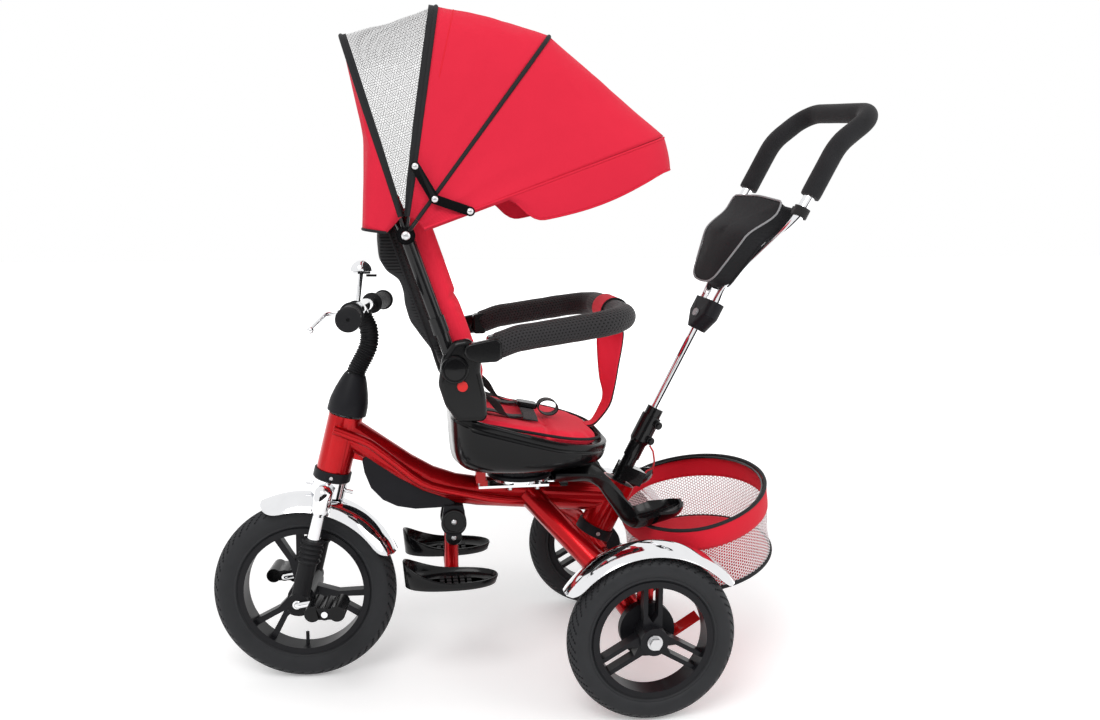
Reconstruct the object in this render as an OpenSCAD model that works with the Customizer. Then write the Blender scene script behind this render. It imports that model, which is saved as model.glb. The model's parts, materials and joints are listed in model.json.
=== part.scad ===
// Children's tricycle with a turning seat, folding canopy and parent push handle.
// X points forward (direction of travel), Y to the left, Z up; the tyres stand on Z = 0.

/* [Chassis] */
// Distance between the front and rear axles
wheelbase = 543; // [530:1:556]
// Distance between the middle planes of the rear wheels
track = 450; // [444:1:460]
// Backward lean of the steering axis, degrees
head_lean = 14.2; // [13:0.1:15.5]
// Length of the head tube
head_len = 110; // [100:1:112]
// Outer diameter of the head tube
head_d = 56; // [54:1:60]
// Outer diameter of the main tube
main_d = 50; // [46:1:52]
// Wall of the frame tubes
tube_wall = 2; // [1.5:0.1:3]
// Outer diameter of the two slim side tubes
side_d = 16; // [14:1:18]
// Outer diameter of the rear struts
strut_d = 40; // [34:1:42]
// Outer diameter of the beam that holds the rear axle
beam_d = 26; // [24:1:30]
// Diameter of the rear axle
axle_d = 12; // [10:1:14]
// Outer diameter of the tube that receives the push handle
receiver_d = 58; // [54:1:60]

/* [Wheels] */
// Outer diameter of the front tyre
front_tyre_d = 305; // [301:1:309]
// Width of the front tyre
front_tyre_w = 45; // [42:1:48]
// Outer diameter of the front rim
front_rim_d = 219; // [210:1:224]
// Outer diameter of the rear tyres
rear_tyre_d = 266; // [262:1:270]
// Width of the rear tyres
rear_tyre_w = 42; // [40:1:46]
// Height of a rear tyre above its rim
rear_sidewall = 38.5; // [37:0.5:42]
// Distance from the crank axle to a pedal's axle
crank_throw = 57; // [50:1:60]

/* [Fork and handlebar] */
// Distance between the fork legs
fork_gap = 116; // [114:1:120]
// Outer diameter of the black lower fork legs
leg_lower_d = 29; // [26:1:30]
// Outer diameter of the steerer
steerer_d = 25.4; // [24:0.1:27]
// Width of the handlebar over its ends
bar_w = 424; // [390:1:440]
// Diameter of the handlebar tube
bar_d = 22; // [20:1:24]
// Diameter of the hand grips
grip_d = 31; // [29:1:34]
// Length of a hand grip
grip_len = 96; // [80:1:100]

/* [Seat] */
// Height of the top of the seat mounting plate
mount_z = 331; // [330:0.5:333]
// Diameter of the seat turntable
turntable_d = 112; // [100:1:113]
// Width of the seat shell
seat_w = 292; // [280:1:296]
// Upward slope of the seat from its front edge, degrees
seat_pitch = 11.5; // [10:0.5:12.5]
// Thickness of the seat cushion
cushion_t = 26; // [20:1:30]
// Backward lean of the backrest tubes, degrees
back_lean = 19; // [18:0.5:20]
// Width of the back cushion
back_w = 236; // [200:1:244]
// Outer diameter of the safety bar padding
pad_d = 40; // [34:1:42]

/* [Canopy] */
// Distance between the canopy pivots
canopy_pivot_w = 300; // [298:1:304]
// Half width of the canopy across its roof
canopy_half_w = 164; // [160:1:170]
// Reach of the rear hoop above the pivots
hoop_rear_r = 300; // [292:1:308]
// Reach of the fixed roof hoop above the pivots
hoop_roof_r = 336; // [328:1:344]
// Reach of the middle bow from the pivots
bow_mid_r = 366; // [358:1:374]
// Reach of the front bow from the pivots
bow_front_r = 424; // [416:1:432]
// Thickness of the canopy cloth
cloth_t = 2; // [1.5:0.1:3]

/* [Push handle] */
// Backward lean of the push handle post, degrees
post_lean = 26.7; // [26:0.1:27.5]
// Diameter of the black lower post
post_d = 25; // [24:0.5:26]
// Diameter of the chromed handle tubes
handle_d = 19; // [17:0.5:20]
// Width of the handle between its tube centres
handle_w = 200; // [180:1:220]
// Outer diameter of the foam grip
foam_d = 33; // [28:1:36]

/* [Basket] */
// Width of the basket rim
basket_w = 380; // [360:1:384]
// Length of the basket rim
basket_len = 268; // [240:1:272]
// Height of the coloured band below the rim
band_h = 36; // [28:1:42]

/* [Hidden] */
$fn = 48;

red = [0.78, 0.05, 0.07];
cloth_red = [0.88, 0.08, 0.15];
black = [0.08, 0.08, 0.085];
dark = [0.16, 0.16, 0.17];
chrome = [0.8, 0.8, 0.82];

// Clearances
fit = 0.05;        // radial running fit of a pin or shaft
gap = 0.3;         // between neighbouring pieces of different bodies
bend_step = 12;    // degrees between the rings of a bend

// Rest positions of the two steering axes, degrees
front_rest = -5.5;
handle_rest = 10.5;

front_r = front_tyre_d / 2;
rear_r = rear_tyre_d / 2;
rear_rim_d = rear_tyre_d - 2 * rear_sidewall;
half_track = track / 2;

function unit(v) = v / norm(v);
function turn(a, b, c) = acos(min(1, unit(b - a) * unit(c - b)));
function pick(v, i) = is_list(v) ? v[i] : v;
function mirror_y(p) = [p[0], -p[1], p[2]];
function reverse(l) = [for (i = [len(l) - 1 : -1 : 0]) l[i]];

// Point on the steering axis, h above the front axle
function head_pt(h) = [wheelbase - h * sin(head_lean), 0, front_r + h * cos(head_lean)];
// Point on the push handle axis, s above its foot
post_foot = [50, 0, 226];
function post_pt(s) = post_foot + s * [-sin(post_lean), 0, cos(post_lean)];

module place() { translate([shift_x, 0, 0]) children(); }
module both() { children(); mirror([0, 1, 0]) children(); }
module head_frame() {
    place() translate([wheelbase, 0, front_r]) rotate([0, -head_lean, 0]) children();
}
module fork_frame() { head_frame() rotate([0, 0, front_rest]) children(); }
module post_frame() { place() translate(post_foot) rotate([0, -post_lean, 0]) children(); }
module handle_frame() { post_frame() rotate([0, 0, handle_rest]) children(); }

// Local frame whose Z runs from a to b
module along(a, b) {
    v = b - a;
    translate(a) rotate([0, acos(v[2] / norm(v)), atan2(v[1], v[0])]) children();
}
module ring(r, h, bore) {
    difference() {
        cylinder(h = h, r = r);
        translate([0, 0, -1]) cylinder(h = h + 2, r = bore);
    }
}
// Straight bar or tube
module bar(a, b, r, wall = 0) {
    l = norm(b - a);
    along(a, b) difference() {
        cylinder(h = l, r = r);
        if (wall > 0) translate([0, 0, -1]) cylinder(h = l + 2, r = r - wall);
    }
}
// Points along a bent path: pts with a bend radius at each inner point
function corner(a, b, c, k) =
    let (u = unit(b - a), w = unit(c - b), th = turn(a, b, c), m = unit(w - (w * u) * u),
        s = b - u * k * tan(th / 2), n = max(1, ceil(th / bend_step)))
    [for (i = [0 : n]) s + m * k * (1 - cos(th * i / n)) + u * k * sin(th * i / n)];
function path(pts, bends) = concat([pts[0]],
    [for (i = [1 : len(pts) - 2]) each corner(pts[i - 1], pts[i], pts[i + 1], pick(bends, i - 1))],
    [pts[len(pts) - 1]]);
// Points of a path and of its mirror image, joined across the middle
function across(pts) = concat(pts, reverse([for (p = pts) mirror_y(p)]));
// A round bar or tube along points; up is never in line with the path
module tube(pts, up, r, bore = 0, sides = 16) {
    m = len(pts);
    dir = [for (i = [0 : m - 1]) unit(unit(pts[min(i + 1, m - 1)] - pts[max(min(i, m - 2), 0)])
        + unit(pts[max(min(i, m - 1), 1)] - pts[max(i - 1, 0)]))];
    rings = [for (q = bore > 0 ? [r, bore] : [r]) for (i = [0 : m - 1]) for (b = [0 : sides - 1])
        pts[i] + q * (cos(360 * b / sides) * unit(cross(dir[i], up))
        + sin(360 * b / sides) * unit(cross(cross(dir[i], up), dir[i])))];
    k = m * sides;
    last = (m - 1) * sides;
    polyhedron(points = rings, faces = concat(
        [for (i = [0 : m - 2]) for (b = [0 : sides - 1]) for (h = [0, 1])
            let (c = (b + 1) % sides, p = i * sides, q = p + sides)
            h == 0 ? [p + b, p + c, q + c] : [p + b, q + c, q + b]],
        bore > 0
        ? concat([for (i = [0 : m - 2]) for (b = [0 : sides - 1]) for (h = [0, 1])
            let (c = (b + 1) % sides, p = k + i * sides, q = p + sides)
            h == 0 ? [p + c, p + b, q + c] : [q + c, p + b, q + b]],
            [for (b = [0 : sides - 1]) for (h = [0, 1]) let (c = (b + 1) % sides)
            h == 0 ? [c, b, k + b] : [c, k + b, k + c]],
            [for (b = [0 : sides - 1]) for (h = [0, 1]) let (c = last + (b + 1) % sides, d = last + b)
            h == 0 ? [d, c, k + c] : [d, k + c, k + d]])
        : [[for (b = [sides - 1 : -1 : 0]) b], [for (b = [0 : sides - 1]) last + b]]));
}
module bent(pts, bends, up, r, bore = 0, sides = 16) { tube(path(pts, bends), up, r, bore, sides); }
// Flat outline in the X-Z plane given a width along Y
module side_plate(pts, y0, w) {
    translate([0, y0 + w, 0]) rotate([90, 0, 0]) linear_extrude(w) polygon(pts);
}
module hex_head(af, h) { cylinder(h = h, d = af / cos(30), $fn = 6); }
module slab(r, h) { cylinder(h = h, r = r, $fn = 32); }

// ---------- frame ----------
bearing_h = 12;
head_top = head_base() + head_len;
function head_base() = 197;
main_h = head_top - 22;              // where the main tube meets the steering axis
waist = [319, 0, 317];              // where the main tube turns up to the head
waist_bend = 250;
main_tail = post_pt(72);            // where the main tube meets the receiver
receiver_len = 104;
receiver_bore = receiver_d / 2 - 3;
bush_h = 14;
side_gap = 30;                      // side tubes from the centre plane
main_pts = [head_pt(main_h), waist, main_tail];
side_drop = 11;                     // side tubes below the main tube's centre
side_start = head_pt(main_h + 4) + [14, 0, 0];
side_pts = [side_start + [0, side_gap + 2, 0], [430, side_gap, 408], [340, side_gap, 331], [216, side_gap, 301],
    [164, side_gap - 8, 296]];
strut_top = [163, 16, 304];
strut_knee = [62, half_track - 76, 214];
strut_end = [6, half_track - 66, rear_r + 4];
brake_pin = [-30, half_track - 52, rear_r - 22];
brake_boss = 14;
brake_pin_r = 4;
stay_t = 4;
drum_r = 44;
drum_w = 16;
hub_half = rear_tyre_w / 2 + 2;
drum_y = half_track - hub_half - gap;       // outer face of a brake drum
stay_y = drum_y - drum_w - gap - stay_t;
beam_half = stay_y + stay_t;

module main_tube(bore = 0) bent(main_pts, waist_bend, [0, 1, 0], main_d / 2, bore, 20);
module side_tube(more = 0) bent(side_pts, [90, 120, 200], [0, 1, 0], side_d / 2 + more, 0, 12);
// Web below the head
module head_web() side_plate([[head_pt(225)[0] - 10, head_pt(225)[2]], [wheelbase - 86, front_r + 222],
    [wheelbase - 108, front_r + 216], [wheelbase - 96, front_r + 250]], -2, 4);
module main_frame() color(red) {
    difference() {
        union() {
            head_frame() translate([0, 0, head_base()]) cylinder(h = head_len, d = head_d);
            place() main_tube(main_d / 2 - tube_wall);
            post_frame() cylinder(h = receiver_len, d = receiver_d);
            place() head_web();
            place() both() side_tube(0);
        }
        head_frame() translate([0, 0, head_base() - 1]) cylinder(h = head_len + 12, d = head_d - 6);
        post_frame() translate([0, 0, -1]) cylinder(h = receiver_len + 2, r = receiver_bore);
    }
}

module rear_frame() color(red) {
    place() difference() {
        union() {
            both() bent([strut_top, strut_knee, strut_end], 60, [1, 0, 0], strut_d / 2);
            translate([0, 0, rear_r]) rotate([90, 0, 0])
                cylinder(h = 2 * beam_half, d = beam_d, center = true);
            // stays that carry the fenders
            both() side_plate([[-12, rear_r - 10], [12, rear_r - 10], [stay_half, fender_top()], [-stay_half, fender_top()]],
                stay_y, stay_t);
        }
        // the struts end flush against the main tube
        main_tube();
        both() side_tube();
        translate([0, 0, rear_r]) rotate([90, 0, 0]) cylinder(h = track, d = axle_d, center = true);
    }
}

// Rear axle with its nuts, head bearings, the plate's bolts
module rear_nut() {
    translate([0, half_track + hub_half + gap, rear_r]) rotate([-90, 0, 0]) {
        cylinder(h = 2, d = 24);
        translate([0, 0, 2]) hex_head(17, 7);
    }
}
bolt_spots = [[153, 40], [199, 40], [153, -40], [199, -40]];
plate_t = 4;
module steel_hardware() color(chrome) {
    place() union() {
        translate([0, 0, rear_r]) rotate([90, 0, 0])
            cylinder(h = track + 2 * (hub_half + gap), d = axle_d, center = true);
        both() rear_nut();
    }
    // pins of the brake pedals
    place() both() {
        translate([brake_pin[0], drum_y - drum_w, brake_pin[2]]) rotate([90, 0, 0])
            cylinder(h = drum_y - drum_w - brake_pin[1] + brake_boss / 2 + gap, r = brake_pin_r);
        translate([brake_pin[0], brake_pin[1] - brake_boss / 2 - gap, brake_pin[2]]) rotate([90, 0, 0])
            cylinder(h = 2, r = brake_pin_r + 3);
    }
    head_frame() for (h = [head_base(), head_top - bearing_h]) translate([0, 0, h])
        ring(head_d / 2 - 3, bearing_h, steerer_d / 2 + fit);
    place() for (p = bolt_spots) translate([p[0], p[1], mount_z - plate_t - 5]) hex_head(8, 5);
    // collar screws
    head_frame() translate([0, head_d / 2 + 3, head_base() + 7]) rotate([-90, 0, 0]) cylinder(h = 1.5, d = 6);
    post_frame() translate([0, receiver_d / 2 + 3, 9]) rotate([-90, 0, 0]) cylinder(h = 1.5, d = 7);
}

// Guard under the main tube, collars on the head and the receiver, footrest hinge housing
waist_dir = unit(head_pt(main_h) - waist);
guard_pts = [[-34, -8], [-14, -24], [14, -45], [42, -58], [68, -62], [96, -56], [120, -40], [134, -26], [134, 0],
    [-34, 0]];
guard_half = 19;
foot_pivot = [293, 0, 261];
foot_disc_r = 21.5;
module frame_covers() color(dark) {
    place() difference() {
        translate(waist) rotate([0, -atan2(waist_dir[2], waist_dir[0]), 0])
            side_plate(guard_pts, -guard_half, 2 * guard_half);
        main_tube();
        head_web();
        both() side_tube(gap);
    }
    head_frame() translate([0, 0, head_base()]) ring(head_d / 2 + 3, 15, head_d / 2);
    post_frame() ring(receiver_d / 2 + 3, 18, receiver_d / 2);
    // bushes that the push handle turns in
    post_frame() for (s = [post_lo, receiver_len - bush_h]) translate([0, 0, s])
        ring(receiver_bore, bush_h, post_d / 2 + fit);
    // housings of the rear brakes
    place() both() translate([0, drum_y, rear_r]) rotate([90, 0, 0])
        ring(drum_r, drum_w, axle_d / 2);
    // hinge housing: two cheeks either side of the folding leg, under the main tube
    place() difference() {
        for (s = [-1, 1]) hull() {
            translate([foot_pivot[0], s * 20, foot_pivot[2]]) rotate([90, 0, 0])
                cylinder(h = 8, r = foot_disc_r, center = true);
            translate([foot_pivot[0], s * 20, foot_pivot[2] + 28]) cube([32, 8, 8], center = true);
        }
        main_tube();
        both() side_tube();
        translate(foot_pivot) rotate([90, 0, 0]) cylinder(h = 60, d = 8, center = true);
    }
}

swivel_x = 178;
pivot_d = 16;
bracket_x = swivel_x - turntable_d / 2 - 18;
module seat_mount() color(chrome) {
    place() {
        difference() {
            union() {
                translate([134, -46, mount_z - plate_t]) cube([118, 92, plate_t]);
                translate([bracket_x, -20, mount_z - plate_t]) cube([40, 40, plate_t]);
            }
            main_tube();
        }
        difference() {
            translate([swivel_x, 0, mount_z]) {
                cylinder(h = 6, d = turntable_d - 16);
                cylinder(h = 26, d = pivot_d);
            }
            main_tube();
        }
    }
}

// Two channels for the legs of a small child
rest_in = 58;
rest_out = 142;
rest_lower = [[135, 351], [80, 351], [66, 344], [26, 280], [10, 268], [-14, 272], [-58, 282], [-86, 290],
    [-93, 298]];
rest_upper = [[-88, 304], [-44, 306], [-20, 310], [0, 328], [24, 368], [34, 378], [44, 378], [58, 365], [135, 365]];
module leg_rests() color(black) {
    place() {
        both() difference() {
            side_plate(concat(rest_lower, rest_upper), rest_in, rest_out - rest_in);
            side_plate([[136, 356], [78, 356], [61, 347], [21, 284], [8, 274], [-14, 278], [-56, 288], [-82, 295], [-92, 314],
                [-20, 330], [0, 360], [60, 390], [136, 390]], rest_in + 5, rest_out - rest_in - 10);
        }
        // cross bracket on the seat plate
        translate([bracket_x, -rest_in - 2, mount_z]) cube([13, 2 * rest_in + 4, 4]);
        both() translate([bracket_x, rest_in - 2, mount_z]) cube([13, 4, 22]);
    }
}

// ---------- fenders and brakes ----------
fender_drop = 15;                   // rear fender arc centre below the axle
fender_room = 17;                   // between a rear tyre and its fender
fender_r = rear_r + fender_drop + fender_room;
fender_w = 66;
fender_crown = 45;
fender_t = 1.6;
// Height at which the stays meet the inner edge of a rear fender
stay_half = 14;
function fender_top() = rear_r - fender_drop + sqrt(pow(fender_r - fender_crown
    + sqrt(pow(fender_crown - fender_t, 2) - pow(fender_w / 2, 2)), 2) - pow(stay_half, 2));
module gutter(r, crown, w, t, a0, a1) {
    rotate([0, -a0, 0]) rotate([90, 0, 0]) rotate_extrude(angle = a1 - a0)
        intersection() {
            difference() {
                translate([r - crown, 0]) circle(r = crown);
                translate([r - crown, 0]) circle(r = crown - t);
            }
            translate([r - crown, -w / 2]) square([crown + 1, w]);
        }
}
module rear_fenders() color(chrome) place() both()
    translate([0, stay_y + fender_w / 2, rear_r - fender_drop])
        gutter(fender_r, fender_crown, fender_w, fender_t, 34, 144);

module brake_pedal() {
    difference() {
        union() {
            bar(brake_pin, [-56, brake_pin[1], 124], 5);
            translate([-46, brake_pin[1] - 14, 112]) rotate([0, 32 - 180, 0]) translate([0, 0, -2])
                cube([52, 28, 4]);
            translate(brake_pin) rotate([90, 0, 0]) cylinder(h = brake_boss, r = 9, center = true);
        }
        translate(brake_pin) rotate([90, 0, 0]) cylinder(h = 20, r = brake_pin_r + fit, center = true);
    }
}
module brake_pedal_left() color(red) place() brake_pedal();
module brake_pedal_right() color(red) place() mirror([0, 1, 0]) brake_pedal();

// ---------- basket ----------
basket_mid = -113;                  // middle of the rim along X
basket_rise = 0.29;                 // rim rises towards the back
basket_tilt = atan(basket_rise);
rim_z = 262 - basket_rise * basket_mid;
floor_mid = -129;
floor_rise = 0.2;
floor_z = 183;
floor_w = 344;
floor_len = 270;
wire_d = 5;
wall_t = 2;
basket_steps = 36;
blunt = 0.8;                        // the front of the basket is flatter than its back
function oval(a, l, w, inset) = [(l / 2 - inset) * cos(a) * (cos(a) > 0 ? blunt : 1), (w / 2 - inset) * sin(a)];
function rim_pt(a, inset, down = 0) = let (q = oval(a, basket_len, basket_w, inset))
    [basket_mid + q[0], q[1], rim_z - basket_rise * q[0] - down];
function floor_pt(a, inset) = let (q = oval(a, floor_len, floor_w, inset))
    [floor_mid + q[0], q[1], floor_z - floor_rise * q[0]];
function mix(p, q, k) = p + (q - p) * k;
band_share = band_h / (rim_z - floor_z);
// A closed wall between two rings, each given as an outer and an inner loop
module loop_wall(top_out, top_in, low_out, low_in) {
    n = len(top_out);
    pts = concat(top_out, top_in, low_in, low_out);
    polyhedron(points = pts, faces = [for (k = [0 : 3]) for (i = [0 : n - 1]) for (h = [0, 1])
        let (j = (i + 1) % n, p = k * n, q = ((k + 1) % 4) * n)
            h == 0 ? [p + i, q + j, p + j] : [p + i, q + i, q + j]]);
}
function wall_loop(inset, k) = [for (i = [0 : basket_steps - 1]) let (a = 360 * i / basket_steps)
    mix(rim_pt(a, inset), floor_pt(a, inset), k)];
// A closed slab between two rings
module loop_slab(top, low) {
    n = len(top);
    polyhedron(points = concat(top, low), faces = concat([[for (i = [n - 1 : -1 : 0]) i]],
        [[for (i = [0 : n - 1]) n + i]],
        [for (i = [0 : n - 1]) for (h = [0, 1]) let (j = (i + 1) % n)
            h == 0 ? [i, j, n + j] : [i, n + j, n + i]]));
}
// A round wire closed on itself around a centre, in a plane with the given normal
module loop_wire(pts, mid, up, r, sides = 8) {
    n = len(pts);
    v = [for (p = pts) for (b = [0 : sides - 1]) p + r * (cos(360 * b / sides) * unit(p - mid)
        + sin(360 * b / sides) * up)];
    polyhedron(points = v, faces = [for (i = [0 : n - 1]) for (b = [0 : sides - 1]) for (h = [0, 1])
        let (p = i * sides, q = ((i + 1) % n) * sides, c = (b + 1) % sides)
            h == 0 ? [p + b, p + c, q + c] : [p + b, q + c, q + b]]);
}
module basket_cloth() color(cloth_red) place() {
    loop_wall(wall_loop(0, 0), wall_loop(wall_t, 0), wall_loop(0, band_share), wall_loop(wall_t, band_share));
    loop_slab(wall_loop(wall_t + gap, 0.98), wall_loop(wall_t + gap, 1));
}
module basket_mesh() color([0.93, 0.9, 0.9]) place()
    loop_wall(wall_loop(0, band_share), wall_loop(wall_t, band_share), wall_loop(0, 1), wall_loop(wall_t, 1));
rim_up = [sin(basket_tilt), 0, cos(basket_tilt)];
wire_in = wall_t + wire_d / 2 + 0.9;
carrier_y = 70;
carrier_r = 4;
function floor_at(x, y) = [x, y, floor_z - floor_rise * (x - floor_mid) - carrier_r - 0.2];
module basket_frame() color(black) place() {
    loop_wire([for (i = [0 : basket_steps - 1]) rim_pt(360 * i / basket_steps, wire_in, wire_d / 2)],
        [basket_mid, 0, rim_z], rim_up, wire_d / 2);
    // hook that holds the rim against the receiver
    difference() {
        translate(rim_pt(0, wire_in) + [-3, -14, 0.1]) cube([30, 28, 3]);
        translate(post_foot) rotate([0, -post_lean, 0]) cylinder(h = 200, d = receiver_d);
    }
    // two carrier bars from the axle beam under the floor
    both() bent([[-beam_d / 2, carrier_y, rear_r], [-beam_d / 2 - 14, carrier_y, rear_r],
        floor_at(-80, carrier_y), floor_at(-236, carrier_y)], [8, 30], [0, 1, 0], carrier_r, 0, 12);
}

// ---------- fork ----------
leg_y = fork_gap / 2;
leg_upper_d = 22;
leg_top_d = 30;
leg_foot = -20;
bellows_lo = 67;
bellows_hi = 107;
crown_lo = 169;
crown_hi = 195;
module fork_crown() color(chrome) fork_frame() {
    difference() {
        union() {
            translate([0, 0, crown_lo]) cylinder(h = crown_hi - crown_lo, d = head_d + 1);
            translate([-13, -leg_y, crown_lo + 3]) cube([26, fork_gap, 17]);
            // shoulders with rounded tops
            both() translate([0, leg_y, 0]) {
                translate([0, 0, bellows_hi]) cylinder(h = 40, d = leg_upper_d);
                translate([0, 0, bellows_hi + 40]) cylinder(h = 8, d1 = leg_upper_d, d2 = leg_top_d);
                translate([0, 0, bellows_hi + 48]) cylinder(h = 32, d = leg_top_d);
                intersection() {
                    translate([0, 0, bellows_hi + 74]) sphere(d = leg_top_d + 4);
                    translate([0, 0, bellows_hi + 80]) cylinder(h = 20, d = leg_top_d);
                }
            }
            // bolts that hold the fender, front and rear
            rotate([0, -90, 0]) translate([crown_lo + 12, 0, -40]) cylinder(h = 80, d = 7);
        }
    }
    // steerer
    translate([0, 0, crown_hi]) cylinder(h = stem_pts[1][2] - stem_bend_trim - crown_hi, d = steerer_d);
}
module fork_lowers() color(black) fork_frame() both() translate([0, leg_y, 0]) {
    // lower leg with its dropout, bored for the crank axle
    difference() {
        union() {
            translate([0, 0, leg_foot]) cylinder(h = bellows_lo - leg_foot, d = leg_lower_d);
            rotate([90, 0, 0]) cylinder(h = leg_lower_d, d = 34, center = true);
        }
        rotate([90, 0, 0]) cylinder(h = 60, r = crank_d / 2 + fit, center = true);
    }
    // rubber bellows
    difference() {
        union() {
            translate([0, 0, bellows_lo]) cylinder(h = bellows_hi - bellows_lo, d = leg_lower_d + 3);
            for (k = [0 : 4]) translate([0, 0, bellows_lo + 2 + 8 * k])
                rotate_extrude() translate([leg_lower_d / 2, 0]) polygon([[-3, 0], [2, 0], [4.5, 3], [2, 6], [-3, 6]]);
        }
    }
}
front_fender_r = crown_lo - gap;
front_fender_crown = 46;
module front_fender() color(chrome) fork_frame() rotate([0, head_lean, 0])
    gutter(front_fender_r, front_fender_crown, 82, fender_t, 66, 157);

// Stem, its cone cover and the ribbed hose
stem_bend = 60;
stem_pts = [[0, 0, crown_hi], [0, 0, 385], [-12, 0, 428], [-6, 0, 455], [18, 0, 485]];
stem_bend_trim = stem_bend * tan(turn(stem_pts[0], stem_pts[1], stem_pts[2]) / 2);
stem_d = 22;
hose_d = 31;
boot_gap = 4;
boot_lo = head_top + boot_gap;
boot_hi = boot_lo + 67;
module stem_boot() color(black) fork_frame() {
    difference() {
        union() {
            translate([0, 0, boot_lo]) cylinder(h = 20, d = head_d + 8);
            translate([0, 0, boot_lo + 20]) cylinder(h = boot_hi - boot_lo - 20, d1 = head_d + 6, d2 = hose_d + 3);
        }
        translate([0, 0, boot_lo - 1]) cylinder(h = boot_hi - boot_lo + 2, d = steerer_d);
        translate([0, 0, boot_lo - 1]) cylinder(h = 16, d = head_d + 2);
    }
    difference() {
        bent([[0, 0, boot_hi], [-1, 0, boot_hi + 8], [-12, 0, 428], [-6, 0, 455], [10, 0, 475]], [40, 60, 40],
            [0, 1, 0], hose_d / 2);
        bent(stem_pts, [stem_bend, 60, 40], [0, 1, 0], stem_d / 2);
    }
}
bar_ctr = [18.5, 0, 485];
bar_end = [4, bar_w / 2, 488];
bar_knee = [18.5, 62, 485];
module handlebar() color(black) fork_frame() {
    bent([mirror_y(bar_end), mirror_y(bar_knee), bar_knee, bar_end], 60, [0, 0, 1], bar_d / 2);
    difference() {
        bent(stem_pts, [stem_bend, 60, 40], [0, 1, 0], stem_d / 2);
        translate([0, 0, crown_hi - 1]) cylinder(h = stem_pts[1][2] - stem_bend_trim - crown_hi + 1, d = steerer_d + 4);
    }
}
bar_dir = unit(bar_end - bar_knee);
grip_flange_d = grip_d + 6;
module grips() color(black) fork_frame() both() {
    a = bar_end - bar_dir * (grip_len - 2);
    difference() {
        union() {
            bar(a, bar_end + bar_dir * 2, grip_d / 2);
            bar(bar_end - bar_dir * 3, bar_end + bar_dir * 2, grip_flange_d / 2);
            bar(a, a + bar_dir * 5, grip_flange_d / 2);
        }
        bar(bar_knee, bar_end, bar_d / 2);
    }
}
// Bell on its clamp, brake lever on its clamp
bell_y = 34;
bell_pos = [24, bell_y, 485 + 62];
lever_a = bar_knee + bar_dir * 38;
lever_pin = lever_a + [17, 0, -4];
lever_tip = lever_pin + [26, 78, -26];
module bell() color(chrome) fork_frame() {
    translate([18.5, bell_y, 485]) rotate([90, 0, 0]) translate([0, 0, -6]) ring(bar_d / 2 + 4, 12, bar_d / 2);
    bar([18.5, bell_y, 485 + bar_d / 2 + 3], bell_pos, 4);
    translate(bell_pos) rotate([0, head_lean, 0]) {
        intersection() {
            difference() {
                sphere(r = 17);
                sphere(r = 15.5);
            }
            cylinder(h = 20, r = 20);
        }
        cylinder(h = 16.5, r = 3);
        translate([0, 0, -4]) cylinder(h = 3.5, r = 15);
    }
}
module bell_lever() color(black) fork_frame() translate(bell_pos) rotate([0, head_lean, 0])
    translate([-13, 10, -8.5]) {
        ring(4, 4, 1.6);
        translate([-22, -3, 0]) difference() {
            cube([24, 6, 4]);
            translate([22, 3, -1]) cylinder(h = 6, r = 1.6);
        }
    }
module brake_lever() color(chrome) fork_frame() {
    difference() {
        union() {
            translate(lever_pin) cylinder(h = 7, r = 6, center = true);
            bent([lever_pin, lever_pin + [20, 10, -6], lever_tip], 10, [0, 0, 1], 3.2, 0, 12);
            translate(lever_tip) sphere(r = 5);
        }
        translate(lever_pin) cylinder(h = 20, r = 2.5 + fit, center = true);
    }
}

// ---------- wheels ----------
flange_t = 3;
lip = 6;                            // rim flange above the barrel
hub_d = 44;
module tyre(d, w, rim_d) {
    rc = (d - w) / 2;
    bead = w / 2 - 7;
    rotate([90, 0, 0]) rotate_extrude() difference() {
        union() {
            translate([rc, 0]) circle(r = w / 2);
            polygon([[rim_d / 2 - lip, -bead], [rim_d / 2, -bead], [rc - 4, -w / 2 + 0.5], [rc - 4, w / 2 - 0.5],
                [rim_d / 2, bead], [rim_d / 2 - lip, bead]]);
        }
        square([2 * (rim_d / 2 - lip), w + 2], center = true);
    }
}
module rim(d, w, hub_w, bore) {
    bead = w / 2 - 7;
    barrel = d / 2 - lip;
    rotate([90, 0, 0]) {
        rotate_extrude() union() {
            translate([barrel - 4, -bead - flange_t]) square([4, 2 * (bead + flange_t)]);
            translate([barrel - 4, -bead - flange_t]) square([lip + 4, flange_t]);
            translate([barrel - 4, bead]) square([lip + 4, flange_t]);
        }
        difference() {
            union() {
                cylinder(h = hub_w, d = hub_d, center = true);
                intersection() {
                    children();
                    cylinder(h = w, r = barrel - 2, center = true);
                }
            }
            cylinder(h = hub_w + 2, r = bore, center = true);
        }
    }
}
// Three double spokes that meet in a V at the hub
module paired_spokes(r, depth) {
    for (a = [90, 210, 330]) rotate([0, 0, a]) difference() {
        translate([hub_d / 2 - 6, -15, -depth / 2]) cube([r - hub_d / 2 + 8, 30, depth]);
        translate([0, 0, -depth / 2 - 1]) linear_extrude(depth + 2)
            polygon([[hub_d / 2 + 4, 0], [hub_d / 2 + 16, -8], [r + 4, -8], [r + 4, 8], [hub_d / 2 + 16, 8]]);
    }
}
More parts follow.
